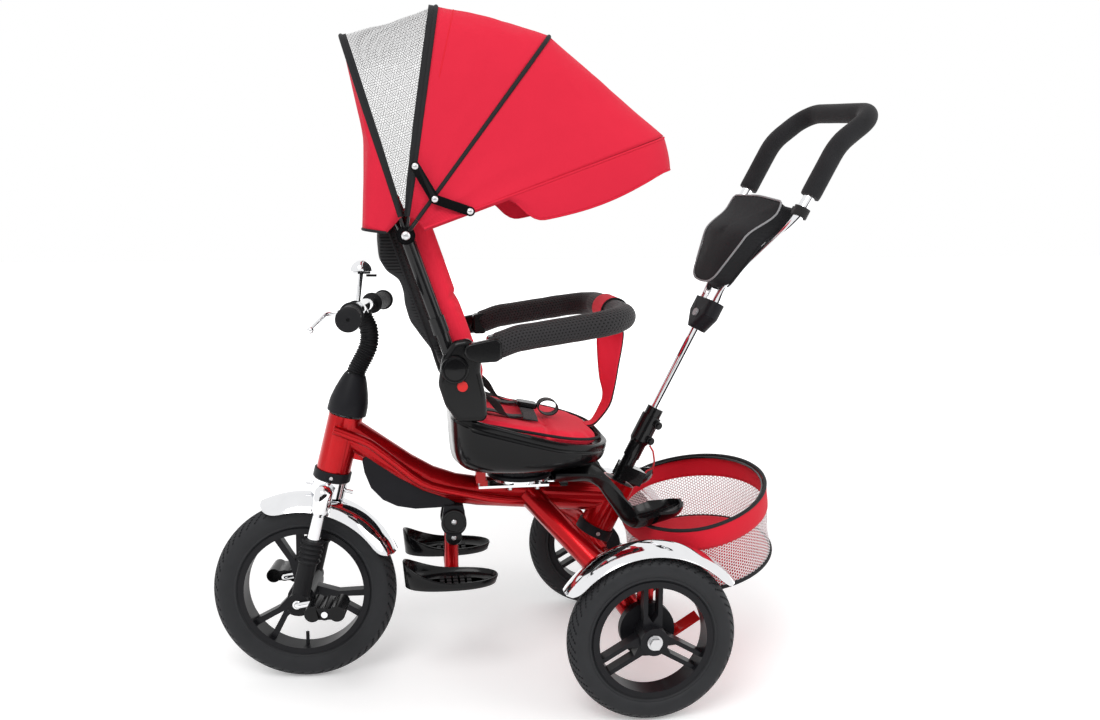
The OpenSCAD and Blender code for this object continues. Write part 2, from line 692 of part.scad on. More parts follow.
// Three spokes that fork towards the rim
module forked_spokes(r, depth) {
    for (a = [75, 195, 315]) rotate([0, 0, a]) difference() {
        translate([0, 0, -depth / 2]) linear_extrude(depth)
            polygon([[hub_d / 2 - 6, -12], [r * 0.55, -11], [r + 2, -26], [r + 2, 26], [r * 0.55, 11], [hub_d / 2 - 6, 12]]);
        translate([0, 0, -depth / 2 - 1]) linear_extrude(depth + 2)
            polygon([[r * 0.52, 0], [r * 0.66, -4.5], [r + 3, -15], [r + 3, 15], [r * 0.66, 4.5]]);
    }
}
crank_d = 14;
front_hub_w = fork_gap - leg_lower_d - 2;
module front_rim() color(black) fork_frame() rotate([0, head_lean, 0]) {
    rim(front_rim_d, front_tyre_w, front_hub_w, crank_d / 2) forked_spokes(front_rim_d / 2 - lip - 4, 18);
    // valve
    translate([0, 0, -front_rim_d / 2 + lip + 4]) cylinder(h = 22, d = 6);
}
module front_tyre() color(dark) fork_frame() rotate([0, head_lean, 0]) tyre(front_tyre_d, front_tyre_w, front_rim_d);

crank_lean = 10;                    // the near pedal points back and a little down
pedal_in = 88;
pedal_w = 54;
crank_arm_y = leg_y + leg_lower_d / 2 + 4;
module crank() color(chrome) fork_frame() rotate([0, head_lean + crank_lean, 0]) {
    rotate([90, 0, 0]) cylinder(h = 2 * crank_arm_y, d = crank_d, center = true);
    for (s = [-1, 1]) {
        bent([[0, s * (crank_arm_y - 4), 0], [0, s * (crank_arm_y + 3), 0],
            [s * crank_throw * -1, s * (crank_arm_y + 3), 0],
            [s * crank_throw * -1, s * (pedal_in + pedal_w + 2), 0]], 5.5, [0, 0, 1], 5);
    }
}
module pedal(s) {
    fork_frame() rotate([0, head_lean + crank_lean, 0]) translate([-s * crank_throw, 0, 0]) rotate([0, -crank_lean, 0])
        rotate([90, 0, 0]) translate([0, 0, s > 0 ? -pedal_in - pedal_w : pedal_in]) difference() {
            union() {
                cylinder(h = pedal_w, d = 20);
                for (k = [-1, 1]) translate([k * 19, 0, 0]) cylinder(h = pedal_w, d = 25);
                translate([-19, -9, 0]) cube([38, 18, pedal_w]);
            }
            translate([0, 0, -1]) cylinder(h = pedal_w + 2, r = 5 + fit);
            for (k = [-1, 1]) translate([k * 19, 0, 8]) cylinder(h = pedal_w - 16, d = 15);
        }
}
module pedal_left() color(black) pedal(1);
module pedal_right() color(black) pedal(-1);

module rear_wheel_frame(s) { place() translate([0, s * half_track, rear_r]) children(); }
module rear_rim(s) { rear_wheel_frame(s) rim(rear_rim_d, rear_tyre_w, 2 * hub_half, axle_d / 2 + fit)
    paired_spokes(rear_rim_d / 2 - lip - 4, 20); }
module rear_rim_left() color(black) rear_rim(1);
module rear_rim_right() color(black) rear_rim(-1);
module rear_tyre_left() color(dark) rear_wheel_frame(1) tyre(rear_tyre_d, rear_tyre_w, rear_rim_d);
module rear_tyre_right() color(dark) rear_wheel_frame(-1) tyre(rear_tyre_d, rear_tyre_w, rear_rim_d);

// ---------- folding footrest ----------
foot_leg_d = 24;
plate_z = 166;
plate_y = 42;
module footrest_leg() color(red) place() {
    difference() {
        union() {
            translate([foot_pivot[0] + 4, 0, plate_z + 4]) cylinder(h = foot_pivot[2] - plate_z - 12, d = foot_leg_d);
            translate(foot_pivot) rotate([90, 0, 0]) cylinder(h = 31, r = foot_disc_r - 3, center = true);
            translate([foot_pivot[0] - 8, -plate_y - 8, plate_z + 4]) cube([24, 2 * plate_y + 16, 8]);
        }
        translate(foot_pivot) rotate([90, 0, 0]) cylinder(h = 40, d = 4, center = true);
    }
    translate(foot_pivot) rotate([90, 0, 0]) cylinder(h = 54, r = 4 - fit, center = true);
}
foot_len = 156;
foot_w = 76;
foot_mid_x = 302;
module footplates() color(black) place() both() translate([foot_mid_x, plate_y + foot_w / 2, plate_z + 12]) {
    difference() {
        hull() for (x = [-foot_len / 2 + 24, foot_len / 2 - 34]) translate([x, 0, 0])
            slab(foot_w / 2 - (x < 0 ? 14 : 4), 14);
        hull() for (x = [-foot_len / 2 + 24, foot_len / 2 - 34]) translate([x, 0, 5])
            slab(foot_w / 2 - (x < 0 ? 18 : 8), 14);
    }
    // heel guard
    intersection() {
        translate([foot_len / 2 - 34, 0, 0]) ring(foot_w / 2 - 4, 42, foot_w / 2 - 8);
        translate([foot_len / 2 - 24, -40, 0]) cube([60, 80, 42]);
    }
}

// ---------- seat ----------
shell_z = 372;
shell_front = 35;
shell_len = 268;
shell_rim_z = 404;                  // height of the shell's rim at the front edge
shell_t = 14;
module seat_top() { place() translate([shell_front, 0, shell_rim_z]) rotate([0, -seat_pitch, 0]) children(); }
module seat_outline(inset, h) {
    // round front, squarer back
    hull() {
        for (s = [-1, 1]) {
            translate([78, s * (seat_w / 2 - 84), 0]) slab(78 - inset, h);
            translate([shell_len - 60, s * (seat_w / 2 - 54), 0]) slab(54 - inset, h);
        }
    }
}
module seat_shell() color(black) {
    difference() {
        hull() {
            seat_top() translate([0, 0, -shell_t]) seat_outline(0, shell_t);
            place() translate([swivel_x, 0, shell_z]) cylinder(h = 1, r = turntable_d, $fn = 48);
        }
        seat_top() translate([0, 0, -shell_t + 4]) seat_outline(10, shell_t);
    }
    // turntable
    place() translate([swivel_x, 0, mount_z + 6 + gap]) ring(turntable_d / 2, shell_z - mount_z - 6 - gap, pivot_d / 2 + fit);
}
module seat_cushion() color(cloth_red) seat_top() translate([0, 0, -shell_t + 4 + gap]) {
    hull() {
        seat_outline(12, cushion_t - 12);
        translate([0, 0, cushion_t - 6]) seat_outline(20, 6);
    }
}
// Latch that slides on the seat plate beside the turntable
lock_x = swivel_x + turntable_d / 2 + 3;
module seat_lock() color(cloth_red) place() {
    translate([lock_x, 28, mount_z + gap]) cube([13, 18, 10]);
    translate([lock_x + 4, 30, mount_z + 8]) cube([16, 26, 20]);
}

// Side housings that carry the backrest and the safety bar
hinge = [295, 0, 550];
tube_y = canopy_pivot_w / 2 - 14;
house_in = tube_y + 11.5;
house_w = 21;
bar_socket = [266, 0, 576];
house_pts = [[307, 450], [250, 438], [253, 490], [270, 538], [256, 562], [256, 590], [284, 592], [314, 572],
    [316, 528], [311, 482]];
// Foot of a housing on the rim of the seat shell, shaped around the cushion's corner
module seat_foot() translate([shell_front, 0, shell_rim_z]) rotate([0, -seat_pitch, 0]) linear_extrude(16)
    difference() {
        translate([shell_len - 62, 100]) square([56, house_in + house_w - 100]);
        translate([shell_len - 60, seat_w / 2 - 54]) circle(r = 54 - 12 + 1);
        translate([shell_len - 63, 99]) square([4, seat_w / 2 - 12 + 1 - 99]);
    }
module recline_brackets() color(black) place() both() {
    difference() {
        union() {
            side_plate(house_pts, house_in, house_w);
            seat_foot();
            translate([hinge[0], house_in + house_w, hinge[2]]) rotate([-90, 0, 0]) cylinder(h = 8, r = 21);
        }
        translate([hinge[0], 0, hinge[2]]) rotate([-90, 0, 0]) cylinder(h = 300, r = 6 + fit);
        translate([284, house_in + house_w - 6, 524]) rotate([-90, 0, 0]) cylinder(h = 20, r = 8 + fit);
        translate([bar_socket[0], house_in - 1, bar_socket[2]]) rotate([-90, 0, 0]) cylinder(h = 60, r = 4 + fit);
    }
}
button_travel = 2;
module recline_button() {
    translate([284, house_in + house_w - 6 + gap + button_travel, 524]) rotate([-90, 0, 0])
        cylinder(h = 8, r = 8);
}
module recline_button_left() color(red) place() recline_button();
module recline_button_right() color(red) place() mirror([0, 1, 0]) recline_button();

// ---------- backrest ----------
function back_pt(s) = hinge + s * [sin(back_lean), 0, cos(back_lean)];
canopy_s = 210;                     // canopy pivots above the recline hinge
canopy_axis = back_pt(canopy_s);
back_top_s = 268;
module back_frame() color(black) place() {
    bent(across([back_pt(0) + [0, tube_y, 0], back_pt(back_top_s) + [0, tube_y, 0]]), 60, [1, 0, 0], 10);
    both() {
        // hinge eye and its pin
        translate([hinge[0], tube_y - 10, hinge[2]]) rotate([-90, 0, 0]) cylinder(h = 16, r = 19);
        translate([hinge[0], tube_y, hinge[2]]) rotate([-90, 0, 0])
            cylinder(h = house_in + house_w + 6 - tube_y, r = 6);
        // sleeve
        bar(back_pt(54) + [0, tube_y, 0], back_pt(80) + [0, tube_y, 0], 12.5);
        // canopy pivot pin
        translate([canopy_axis[0], tube_y, canopy_axis[2]]) rotate([-90, 0, 0]) cylinder(h = 34, r = pin_r);
    }
    // cross bar between the cushion and the cover
    bar(back_pt(30) + [0, -tube_y, 0], back_pt(30) + [0, tube_y, 0], cross_r);
}
cross_r = 7;
pin_r = 4;
back_pad_t = 34;
back_cover_t = 22;
module back_plane(s) { place() translate(hinge) rotate([0, back_lean, 0]) translate([0, 0, s]) children(); }
module back_outline(w, lo, hi, r, x0, t) {
    translate([x0, 0, 0]) rotate([0, 90, 0]) hull() for (s = [-1, 1]) {
        translate([-lo - r, s * (w / 2 - r), 0]) slab(r, t);
        translate([-hi + r, s * (w / 2 - r), 0]) slab(r, t);
    }
}
module back_pad() color(cloth_red) back_plane(0)
    back_outline(back_w, -58, back_top_s - 12, 50, -cross_r - gap - back_pad_t, back_pad_t);
module back_cover() color(black) back_plane(0)
    back_outline(back_w - 10, -30, back_top_s - 12, 50, cross_r + gap, back_cover_t);

// ---------- safety bar ----------
bar_y = 160;
bar_root = [bar_socket[0], bar_y, bar_socket[2]];
bar_mid = [200, bar_y, 594];
bar_front = [24, bar_y, 620];
bar_bends = [60, 62, 62, 60];
bar_r = 8;
bar_arm_z = bar_root[2] + 5;
bar_arm_end = 236;
lug_in = house_in + house_w + gap;
lug_t = 9;
module safety_bar() color(black) place() {
    bent(across([[bar_arm_end, bar_y, bar_arm_z], bar_mid, bar_front]), bar_bends, [0, 0, 1], bar_r);
    // lugs that turn on the side housings
    both() {
        translate([bar_arm_end - 8, bar_y - bar_r, bar_arm_z - 10]) cube([14, lug_in + lug_t - bar_y + bar_r, 20]);
        translate([bar_arm_end - 8, lug_in, bar_arm_z - 10])
            cube([bar_root[0] - bar_arm_end + 8, lug_t, 20]);
        translate([bar_root[0], lug_in, bar_root[2]]) rotate([-90, 0, 0]) cylinder(h = lug_t, r = 15);
        translate([bar_root[0], house_in + 3, bar_root[2]]) rotate([-90, 0, 0]) cylinder(h = house_w, r = 4);
    }
}
module bar_pads() color(dark) place()
    bent(across([bar_mid + unit([bar_arm_end, bar_y, bar_arm_z] - bar_mid) * 24, bar_mid, bar_front]), bar_bends, [0, 0, 1], pad_d / 2, 8);
strap_w = 36;
module crotch_strap() color(cloth_red) place() difference() {
    union() {
        translate([bar_front[0], strap_w / 2, bar_front[2]]) rotate([90, 0, 0]) cylinder(h = strap_w, d = pad_d + 8);
        side_plate([[16, 602], [34, 602], [41, 560], [38, 508], [30, 462], [50, 440], [44, 432], [22, 446],
            [17, 460], [4, 508], [-2, 556]], -strap_w / 2, strap_w);
    }
    translate([bar_front[0], 0, bar_front[2]]) rotate([90, 0, 0]) cylinder(h = strap_w + 2, r = pad_d / 2 + 0.1, center = true);
}
// Belt across the cushion with its folded loop
belt_t = 3;
belt_w = 24;
module harness() color(black) seat_top() translate([0, 0, cushion_t - shell_t + 4 + 2 * gap]) {
    translate([128, -70, 0]) cube([belt_w, 140, belt_t]);
    both() translate([128 + belt_w, 46, 0]) cube([96, belt_w, belt_t]);
    // loop
    translate([84, 0, 0]) rotate([90, 0, 0]) linear_extrude(belt_w, center = true) difference() {
        loop_outline(0);
        loop_outline(belt_t);
    }
}
module loop_outline(inset) hull() {
    translate([12, 12]) circle(r = 12 - inset, $fn = 32);
    translate([44, 9]) circle(r = 9 - inset, $fn = 32);
}

// ---------- canopy ----------
// Every hoop and bow lies in a plane through the pivot axis; angles are from upright towards the front
ang_rear = -17;
ang_roof = 8.7;
ang_mid = 36.6;
ang_front = 69.5;
ang_hem = 80;
hoop_r = 3;                         // radius of a hoop with its piping
edge = 3.5;                         // from a hoop's middle to the edge of the cloth
nest = 7;                           // each bow is wider than the one it folds over
boxy = 2 / 7;                       // squareness of the hoops
hoop_steps = 24;
cloth_start = 28;
function flat_curve(r, w_top, w_low, r0) = [for (i = [0 : hoop_steps])
    let (a = -90 + 180 * i / hoop_steps, q = r0 + (r - r0) * pow(max(0, cos(a)), boxy))
        [(w_low + (w_top - w_low) * q / r) * sign(sin(a)) * pow(abs(sin(a)), boxy), q]];
function in_plane(c, ang, off = 0) = [for (p = c)
    canopy_axis + [-p[1] * sin(ang) - off * cos(ang), p[0], p[1] * cos(ang) - off * sin(ang)]];
function hoop_w(k) = canopy_half_w - 6 + k * nest;
function hoop_low(k) = canopy_pivot_w / 2 + k * nest;
// A curve of the cloth's outer face over a hoop; inset moves it inwards
function cloth_curve(ang, r, k, inset, off, r0 = cloth_start) =
    in_plane(flat_curve(r + hoop_r - inset, hoop_w(k) + hoop_r - inset, hoop_low(k) + hoop_r - inset, r0), ang, off);
module hoop(ang, r, k, r0) tube(in_plane(flat_curve(r, hoop_w(k), hoop_low(k), r0), ang),
    [-cos(ang), 0, -sin(ang)], hoop_r, 0, 8);
// Cloth stretched over a list of curves; outer faces first, inner faces second
module stretched(outer, inner) {
    m = len(outer);
    n = len(outer[0]);
    pts = [for (c = concat(outer, inner)) for (p = c) p];
    k = m * n;
    polyhedron(points = pts, faces = concat(
        [for (j = [0 : m - 2]) for (i = [0 : n - 2]) for (h = [0, 1]) let (a = j * n + i, b = a + n)
            h == 0 ? [a, b + 1, a + 1] : [a, b, b + 1]],
        [for (j = [0 : m - 2]) for (i = [0 : n - 2]) for (h = [0, 1]) let (a = k + j * n + i, b = a + n)
            h == 0 ? [a, a + 1, b + 1] : [a, b + 1, b]],
        [for (i = [0 : n - 2]) for (h = [0, 1]) h == 0 ? [i, i + 1, k + i + 1] : [i, k + i + 1, k + i]],
        [for (i = [0 : n - 2]) for (h = [0, 1]) let (a = (m - 1) * n + i)
            h == 0 ? [a + 1, a, k + a] : [a + 1, k + a, k + a + 1]],
        [for (j = [0 : m - 2]) for (h = [0, 1]) let (a = j * n, b = a + n)
            h == 0 ? [b, a, k + a] : [b, k + a, k + b]],
        [for (j = [0 : m - 2]) for (h = [0, 1]) let (a = j * n + n - 1, b = a + n)
            h == 0 ? [a, b, k + b] : [a, k + b, k + a]]));
}
module panel(ang0, r0, k0, ang1, r1, k1) stretched(
    [cloth_curve(ang0, r0, k0, 0, edge), cloth_curve(ang1, r1, k1, 0, -edge)],
    [cloth_curve(ang0, r0, k0, cloth_t, edge), cloth_curve(ang1, r1, k1, cloth_t, -edge)]);
module eye(k, r) translate([canopy_axis[0], hoop_low(k) - hoop_r, canopy_axis[2]]) rotate([-90, 0, 0]) ring(11, 3.5, r);

module canopy_hoops() color(black) place() {
    hoop(ang_rear, hoop_rear_r, 0, 8);
    hoop(ang_roof, hoop_roof_r, 0, 8);
    both() translate([canopy_axis[0], tube_y + 10, canopy_axis[2]]) rotate([-90, 0, 0]) ring(14, 6, pin_r);
    // rivets for the folding braces
    both() rivet(ang_roof, hoop_low(0) - 1, brace_y + 2 * brace_t + 0.6);
}
flap_mid = [-24, 152];
flap_low = [-82, 62];
module canopy_rear() color(cloth_red) place() {
    panel(ang_rear, hoop_rear_r, 0, ang_roof, hoop_roof_r, 0);
    stretched([cloth_curve(flap_low[0], flap_low[1], 0, 0, 0), cloth_curve(flap_mid[0], flap_mid[1], 0, 0, 0),
        cloth_curve(ang_rear, hoop_rear_r, 0, 0, -edge)],
        [cloth_curve(flap_low[0], flap_low[1], 0, cloth_t, 0), cloth_curve(flap_mid[0], flap_mid[1], 0, cloth_t, 0),
        cloth_curve(ang_rear, hoop_rear_r, 0, cloth_t, -edge)]);
}
module canopy_bow() color(black) place() {
    hoop(ang_mid, bow_mid_r, 1, 8);
    both() eye(1, pin_r + fit);
}
module canopy_top() color(cloth_red) place() panel(ang_roof, hoop_roof_r, 0, ang_mid, bow_mid_r, 1);
module canopy_front() color(cloth_red) place() panel(ang_mid, bow_mid_r, 1, ang_front, bow_front_r, 2);
module canopy_visor() color(cloth_red) place() {
    hoop(ang_front, bow_front_r, 2, 8);
    both() eye(2, pin_r + fit);
    stretched([cloth_curve(ang_front, bow_front_r, 2, 0, edge), cloth_curve(ang_hem, bow_front_r + 5, 2, 0, 0, 46)],
        [cloth_curve(ang_front, bow_front_r, 2, cloth_t, edge), cloth_curve(ang_hem, bow_front_r + 5, 2, cloth_t, 0, 46)]);
    both() rivet(ang_front, hoop_low(2) - 1, brace_y + brace_t + 0.3);
}
// Folding braces outside the cloth
brace_t = 2;
brace_r = 100;                      // rivets from the canopy pivot
brace_len = 54;
brace_y = hoop_low(2) + hoop_r + 4;
rivet_r = 3;
brace_half = (ang_front - ang_roof) / 2;
knee_r = brace_r * cos(brace_half) - sqrt(pow(brace_len, 2) - pow(brace_r * sin(brace_half), 2));
function ray_pt(ang, r, y) = canopy_axis + [-r * sin(ang), y, r * cos(ang)];
module rivet(ang, y0, y1) translate(ray_pt(ang, brace_r, y0)) rotate([-90, 0, 0]) {
    cylinder(h = y1 - y0, r = rivet_r);
}
module brace(ang, y) both() difference() {
    hull() {
        translate(ray_pt(ang, brace_r, y)) rotate([-90, 0, 0]) slab(7, brace_t);
        translate(ray_pt((ang_front + ang_roof) / 2, knee_r, y)) rotate([-90, 0, 0]) slab(7, brace_t);
    }
    translate(ray_pt(ang, brace_r, y - 1)) rotate([-90, 0, 0]) cylinder(h = brace_t + 2, r = rivet_r + fit);
}
module canopy_arms_rear() color(black) place() {
    brace(ang_roof, brace_y + brace_t + gap);
    // rivet head at the knee
    both() translate(ray_pt((ang_front + ang_roof) / 2, knee_r, brace_y + 2 * brace_t + gap)) rotate([-90, 0, 0])
        cylinder(h = 1.5, r = 5);
}
module canopy_arms_front() color(black) place() brace(ang_front, brace_y);

// ---------- push handle ----------
post_top = 247;
joint_lo = 400;
joint_hi = 455;
tube_low = 170;                     // lower end of the chromed tube inside the post
leg_pitch = 22;                     // handle legs from the middle where they leave the joint
grip_lo = 671;
post_lo = 4;                        // lower end of the post inside the receiver
tube_bore_lo = 100;
module handle_post() color(black) handle_frame() {
    difference() {
        translate([0, 0, post_lo]) cylinder(h = post_top - post_lo, d = post_d);
        translate([0, 0, tube_bore_lo]) cylinder(h = post_top, r = handle_d / 2 + fit);
    }
    // sleeve and clamp around the post
    difference() {
        union() {
            translate([0, 0, 151]) cylinder(h = post_top - 151, d = post_d + 4);
            translate([0, 0, 184]) cylinder(h = 48, d = post_d + 10);
            translate([0, 0, 178]) cylinder(h = 6, d1 = post_d + 4, d2 = post_d + 10);
            for (s = clamp_bolts) translate([-8, -24, s]) rotate([-90, 0, 0]) cylinder(h = 48, r = 7);
            // latch box above the receiver
            translate([-34, -17, 110]) cube([44, 34, 26]);
        }
        translate([0, 0, tube_bore_lo]) cylinder(h = 200, d = post_d);
        translate([-20, -6, 184]) cube([6, 12, 48]);
    }
    for (s = clamp_bolts) translate([-8, 24, s]) rotate([-90, 0, 0]) hex_head(8, 4);
}
clamp_bolts = [192, 222];
lanyard_pts = [[-12, 20, 184.25], [-20, 26, 178], [-30, 27, 164], [-36, 24, 152], [-35, 18, 145], [-33, 15, 141],
    [-32.5, 14.2, 136.4]];
module lanyard() color(red) handle_frame() tube(lanyard_pts, [1, 0, 0], 1.6, 0, 8);
grip_bend = 38;
grip_far = [-60, handle_w / 2, 842];
leg_pts = [[0, leg_pitch, joint_lo + 34], [0, leg_pitch, joint_hi + 24], [-17, handle_w / 2, 622],
    [-20, handle_w / 2, grip_lo], [-22, handle_w / 2, 766], grip_far];
leg_bends = [70, 90, 400, 90, grip_bend, grip_bend, 90, 400, 90, 70];
rear_reach = foam_d / 2 - post_foot[0] + grip_far[2] * sin(post_lean)
    - cos(post_lean) * (grip_far[0] * cos(handle_rest) - (handle_w / 2 - grip_bend) * sin(handle_rest));
shift_x = (rear_reach - wheelbase - front_r) / 2;
module handle_tubes() color(chrome) handle_frame() {
    translate([0, 0, tube_low]) cylinder(h = joint_hi - 8 - tube_low, d = handle_d);
    bent(across(leg_pts), leg_bends, [1, 0, 0], handle_d / 2);
}
module handle_joint() color(black) handle_frame() difference() {
    hull() {
        translate([0, 0, joint_lo]) slab(16, 4);
        for (s = [-1, 1]) translate([0, s * (leg_pitch - 1), joint_lo + 28]) slab(15, joint_hi - joint_lo - 28);
    }
    translate([0, 0, joint_lo - 1]) cylinder(h = joint_hi - 8 - joint_lo + 1, d = handle_d);
    for (s = [-1, 1]) translate([0, s * leg_pitch, joint_lo + 34]) cylinder(h = 60, d = handle_d);
    translate([handle_d / 2 + gap, 0, joint_lo + 26]) rotate([0, 90, 0]) cylinder(h = 20, r = 7 + fit);
}
height_travel = 2;
module handle_button() color([0.6, 0.6, 0.62]) handle_frame()
    translate([handle_d / 2 + 2 * gap + height_travel, 0, joint_lo + 26]) rotate([0, 90, 0]) cylinder(h = 6, r = 7);
module handle_foam() color(black) handle_frame() {
    bent(across([leg_pts[3], leg_pts[4], leg_pts[5]]), [90, grip_bend, grip_bend, 90], [1, 0, 0], foam_d / 2, handle_d / 2 + 0.15);
}
bag_t = 44;
module handle_bag() color(dark) handle_frame() {
    translate([bag_t / 2 - 6, 0, 0]) rotate([0, -90, 0]) linear_extrude(bag_t)
        polygon([[482, -12], [628, -84], [646, -80], [652, 0], [646, 80], [628, 84], [482, 12], [476, 0]]);
    // straps around the chromed tubes
    both() difference() {
        union() {
            translate([strap_x, handle_w / 2, strap_s]) cylinder(h = 16, d = handle_d + 7);
            translate([strap_x - 5, 78, strap_s]) cube([10, handle_w / 2 - 78, 16]);
        }
        translate([strap_x, handle_w / 2, strap_s - 1]) cylinder(h = 18, d = handle_d + 1.8);
    }
}
strap_s = 634;
strap_x = -18;

main_frame();
rear_frame();
steel_hardware();
frame_covers();
seat_mount();
leg_rests();
rear_fenders();
basket_frame();
basket_cloth();
basket_mesh();
fork_crown();
fork_lowers();
front_fender();
stem_boot();
handlebar();
grips();
bell();
bell_lever();
brake_lever();
front_rim();
front_tyre();
crank();
pedal_left();
pedal_right();
rear_rim_left();
rear_tyre_left();
rear_rim_right();
rear_tyre_right();
brake_pedal_left();
brake_pedal_right();
footrest_leg();
footplates();
seat_lock();
seat_shell();
seat_cushion();
recline_brackets();
recline_button_left();
recline_button_right();
back_frame();
back_pad();
back_cover();
safety_bar();
bar_pads();
crotch_strap();
harness();
canopy_hoops();
canopy_rear();
canopy_bow();
canopy_top();
canopy_front();
canopy_visor();
canopy_arms_rear();
canopy_arms_front();
handle_post();
lanyard();
handle_tubes();
handle_joint();
handle_button();
handle_foam();
handle_bag();
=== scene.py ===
# Looks of the children's tricycle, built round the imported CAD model
import bpy, bmesh, json
from math import sin, cos, tan, pi, radians, atan2, sqrt, hypot, copysign
from mathutils import Vector, Matrix, noise

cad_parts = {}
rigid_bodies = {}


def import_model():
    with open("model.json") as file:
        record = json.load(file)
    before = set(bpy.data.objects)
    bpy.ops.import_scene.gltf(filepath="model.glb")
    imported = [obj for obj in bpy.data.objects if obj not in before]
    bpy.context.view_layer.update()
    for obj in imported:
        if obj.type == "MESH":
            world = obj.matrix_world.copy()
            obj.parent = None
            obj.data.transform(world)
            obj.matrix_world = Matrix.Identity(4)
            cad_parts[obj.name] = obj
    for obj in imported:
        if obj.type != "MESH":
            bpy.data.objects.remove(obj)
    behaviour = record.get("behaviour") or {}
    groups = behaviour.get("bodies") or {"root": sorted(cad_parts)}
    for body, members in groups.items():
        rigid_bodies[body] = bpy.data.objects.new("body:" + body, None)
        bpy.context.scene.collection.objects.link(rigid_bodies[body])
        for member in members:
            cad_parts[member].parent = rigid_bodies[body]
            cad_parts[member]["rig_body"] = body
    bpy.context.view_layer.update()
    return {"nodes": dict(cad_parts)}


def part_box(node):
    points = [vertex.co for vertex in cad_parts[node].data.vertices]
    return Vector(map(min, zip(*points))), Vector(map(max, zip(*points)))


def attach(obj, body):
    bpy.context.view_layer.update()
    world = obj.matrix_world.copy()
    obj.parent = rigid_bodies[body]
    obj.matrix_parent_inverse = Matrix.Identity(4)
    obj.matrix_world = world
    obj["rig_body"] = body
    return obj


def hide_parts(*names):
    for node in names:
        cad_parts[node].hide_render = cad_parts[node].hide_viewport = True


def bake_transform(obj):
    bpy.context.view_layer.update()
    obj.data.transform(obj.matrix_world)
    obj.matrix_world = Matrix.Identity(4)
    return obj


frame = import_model()
nodes = frame["nodes"]
scene = bpy.context.scene
print("frame loaded,", len(nodes), "nodes")


# Spaces in millimetres: frameSpace starts on the floor under the rear axle
def rotY(degrees):
    return Matrix.Rotation(radians(degrees), 4, "Y")


def rotZ(degrees):
    return Matrix.Rotation(radians(degrees), 4, "Z")


rearAxleX = sum(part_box("rear_tyre_left"), Vector()).x / 2
frameSpace = Matrix.Translation((rearAxleX, 0, 0)) @ Matrix.Scale(0.001, 4)
frontHub = Vector((543, 0, 152.5))
headLean = 14.2
headSpace = frameSpace @ Matrix.Translation(frontHub) @ rotY(-headLean)
forkSpace = headSpace @ rotZ(-5.5)
hubSpace = forkSpace @ rotY(headLean)
handleSpace = frameSpace @ Matrix.Translation((50, 0, 226)) @ rotY(-26.7) @ rotZ(10.5)
seatSpace = frameSpace @ Matrix.Translation((35, 0, 404)) @ rotY(-11.5)
backSpace = frameSpace @ Matrix.Translation((295, 0, 550)) @ rotY(19)
canopyAxis = Vector((295 + 210 * sin(radians(19)), 0, 550 + 210 * cos(radians(19))))
swapXZ = Matrix(((0, 0, 1, 0), (0, 1, 0, 0), (1, 0, 0, 0), (0, 0, 0, 1)))
swapYZ = Matrix(((1, 0, 0, 0), (0, 0, 1, 0), (0, 1, 0, 0), (0, 0, 0, 1)))
bothSides = (("left", 1), ("right", -1))
sidePairs = (("Left", 1), ("Right", -1))  # the same for names that end with the side


# camera, lamps and floor
view = {"place": (0.21928, 1.57535, 0.78243), "pan": 0.1497, "dip": 0.1543, "roll": 0.002, "lens": 31.0569}
lights = {"world": 0.72, "key": 34, "fill": 9, "floor": 0.8}


def aimCamera():
    ahead = Vector((-sin(view["pan"]) * cos(view["dip"]), -cos(view["pan"]) * cos(view["dip"]), -sin(view["dip"])))
    side = ahead.cross(Vector((0, 0, 1))).normalized()
    up = side.cross(ahead)
    side, up = (side * cos(view["roll"]) + up * sin(view["roll"]),
                up * cos(view["roll"]) - side * sin(view["roll"]))
    lens = bpy.data.cameras.new("camera")
    lens.lens, lens.sensor_width = view["lens"], 36
    camera = bpy.data.objects.new("camera", lens)
    camera.matrix_world = Matrix.Translation(view["place"]) @ Matrix((side, up, -ahead)).transposed().to_4x4()
    scene.collection.objects.link(camera)
    scene.camera = camera


def hangLamp(name, place, aim, power, size):
    lamp = bpy.data.lights.new(name, "AREA")
    lamp.shape, lamp.size, lamp.energy = "DISK", size, power
    lampObject = bpy.data.objects.new(name, lamp)
    toAim = Vector(aim) - Vector(place)
    lampObject.matrix_world = Matrix.Translation(place) @ toAim.to_track_quat("-Z", "Y").to_matrix().to_4x4()
    scene.collection.objects.link(lampObject)


class Wire:  # one output of a node; arithmetic on it adds Math nodes
    def __init__(self, finish, socket):
        self.finish, self.socket = finish, socket

    def maths(self, operation, *values):
        return self.finish.add("ShaderNodeMath", {"operation": operation}, dict(enumerate(values)))

    def __add__(self, other):
        return self.maths("ADD", self, other)

    def __sub__(self, other):
        return self.maths("SUBTRACT", self, other)

    def __rsub__(self, other):
        return self.maths("SUBTRACT", other, self)

    def __mul__(self, other):
        return self.maths("MULTIPLY", self, other)

    def __truediv__(self, other):
        return self.maths("DIVIDE", self, other)

    __radd__, __rmul__ = __add__, __mul__

    def cosine(self):
        return self.maths("COSINE", self)

    def size(self):
        return self.maths("ABSOLUTE", self)

    def step(self, low, high):  # 0 below low, 1 above high
        return self.finish.add("ShaderNodeMapRange", {}, {"Value": self, "From Min": low, "From Max": high})


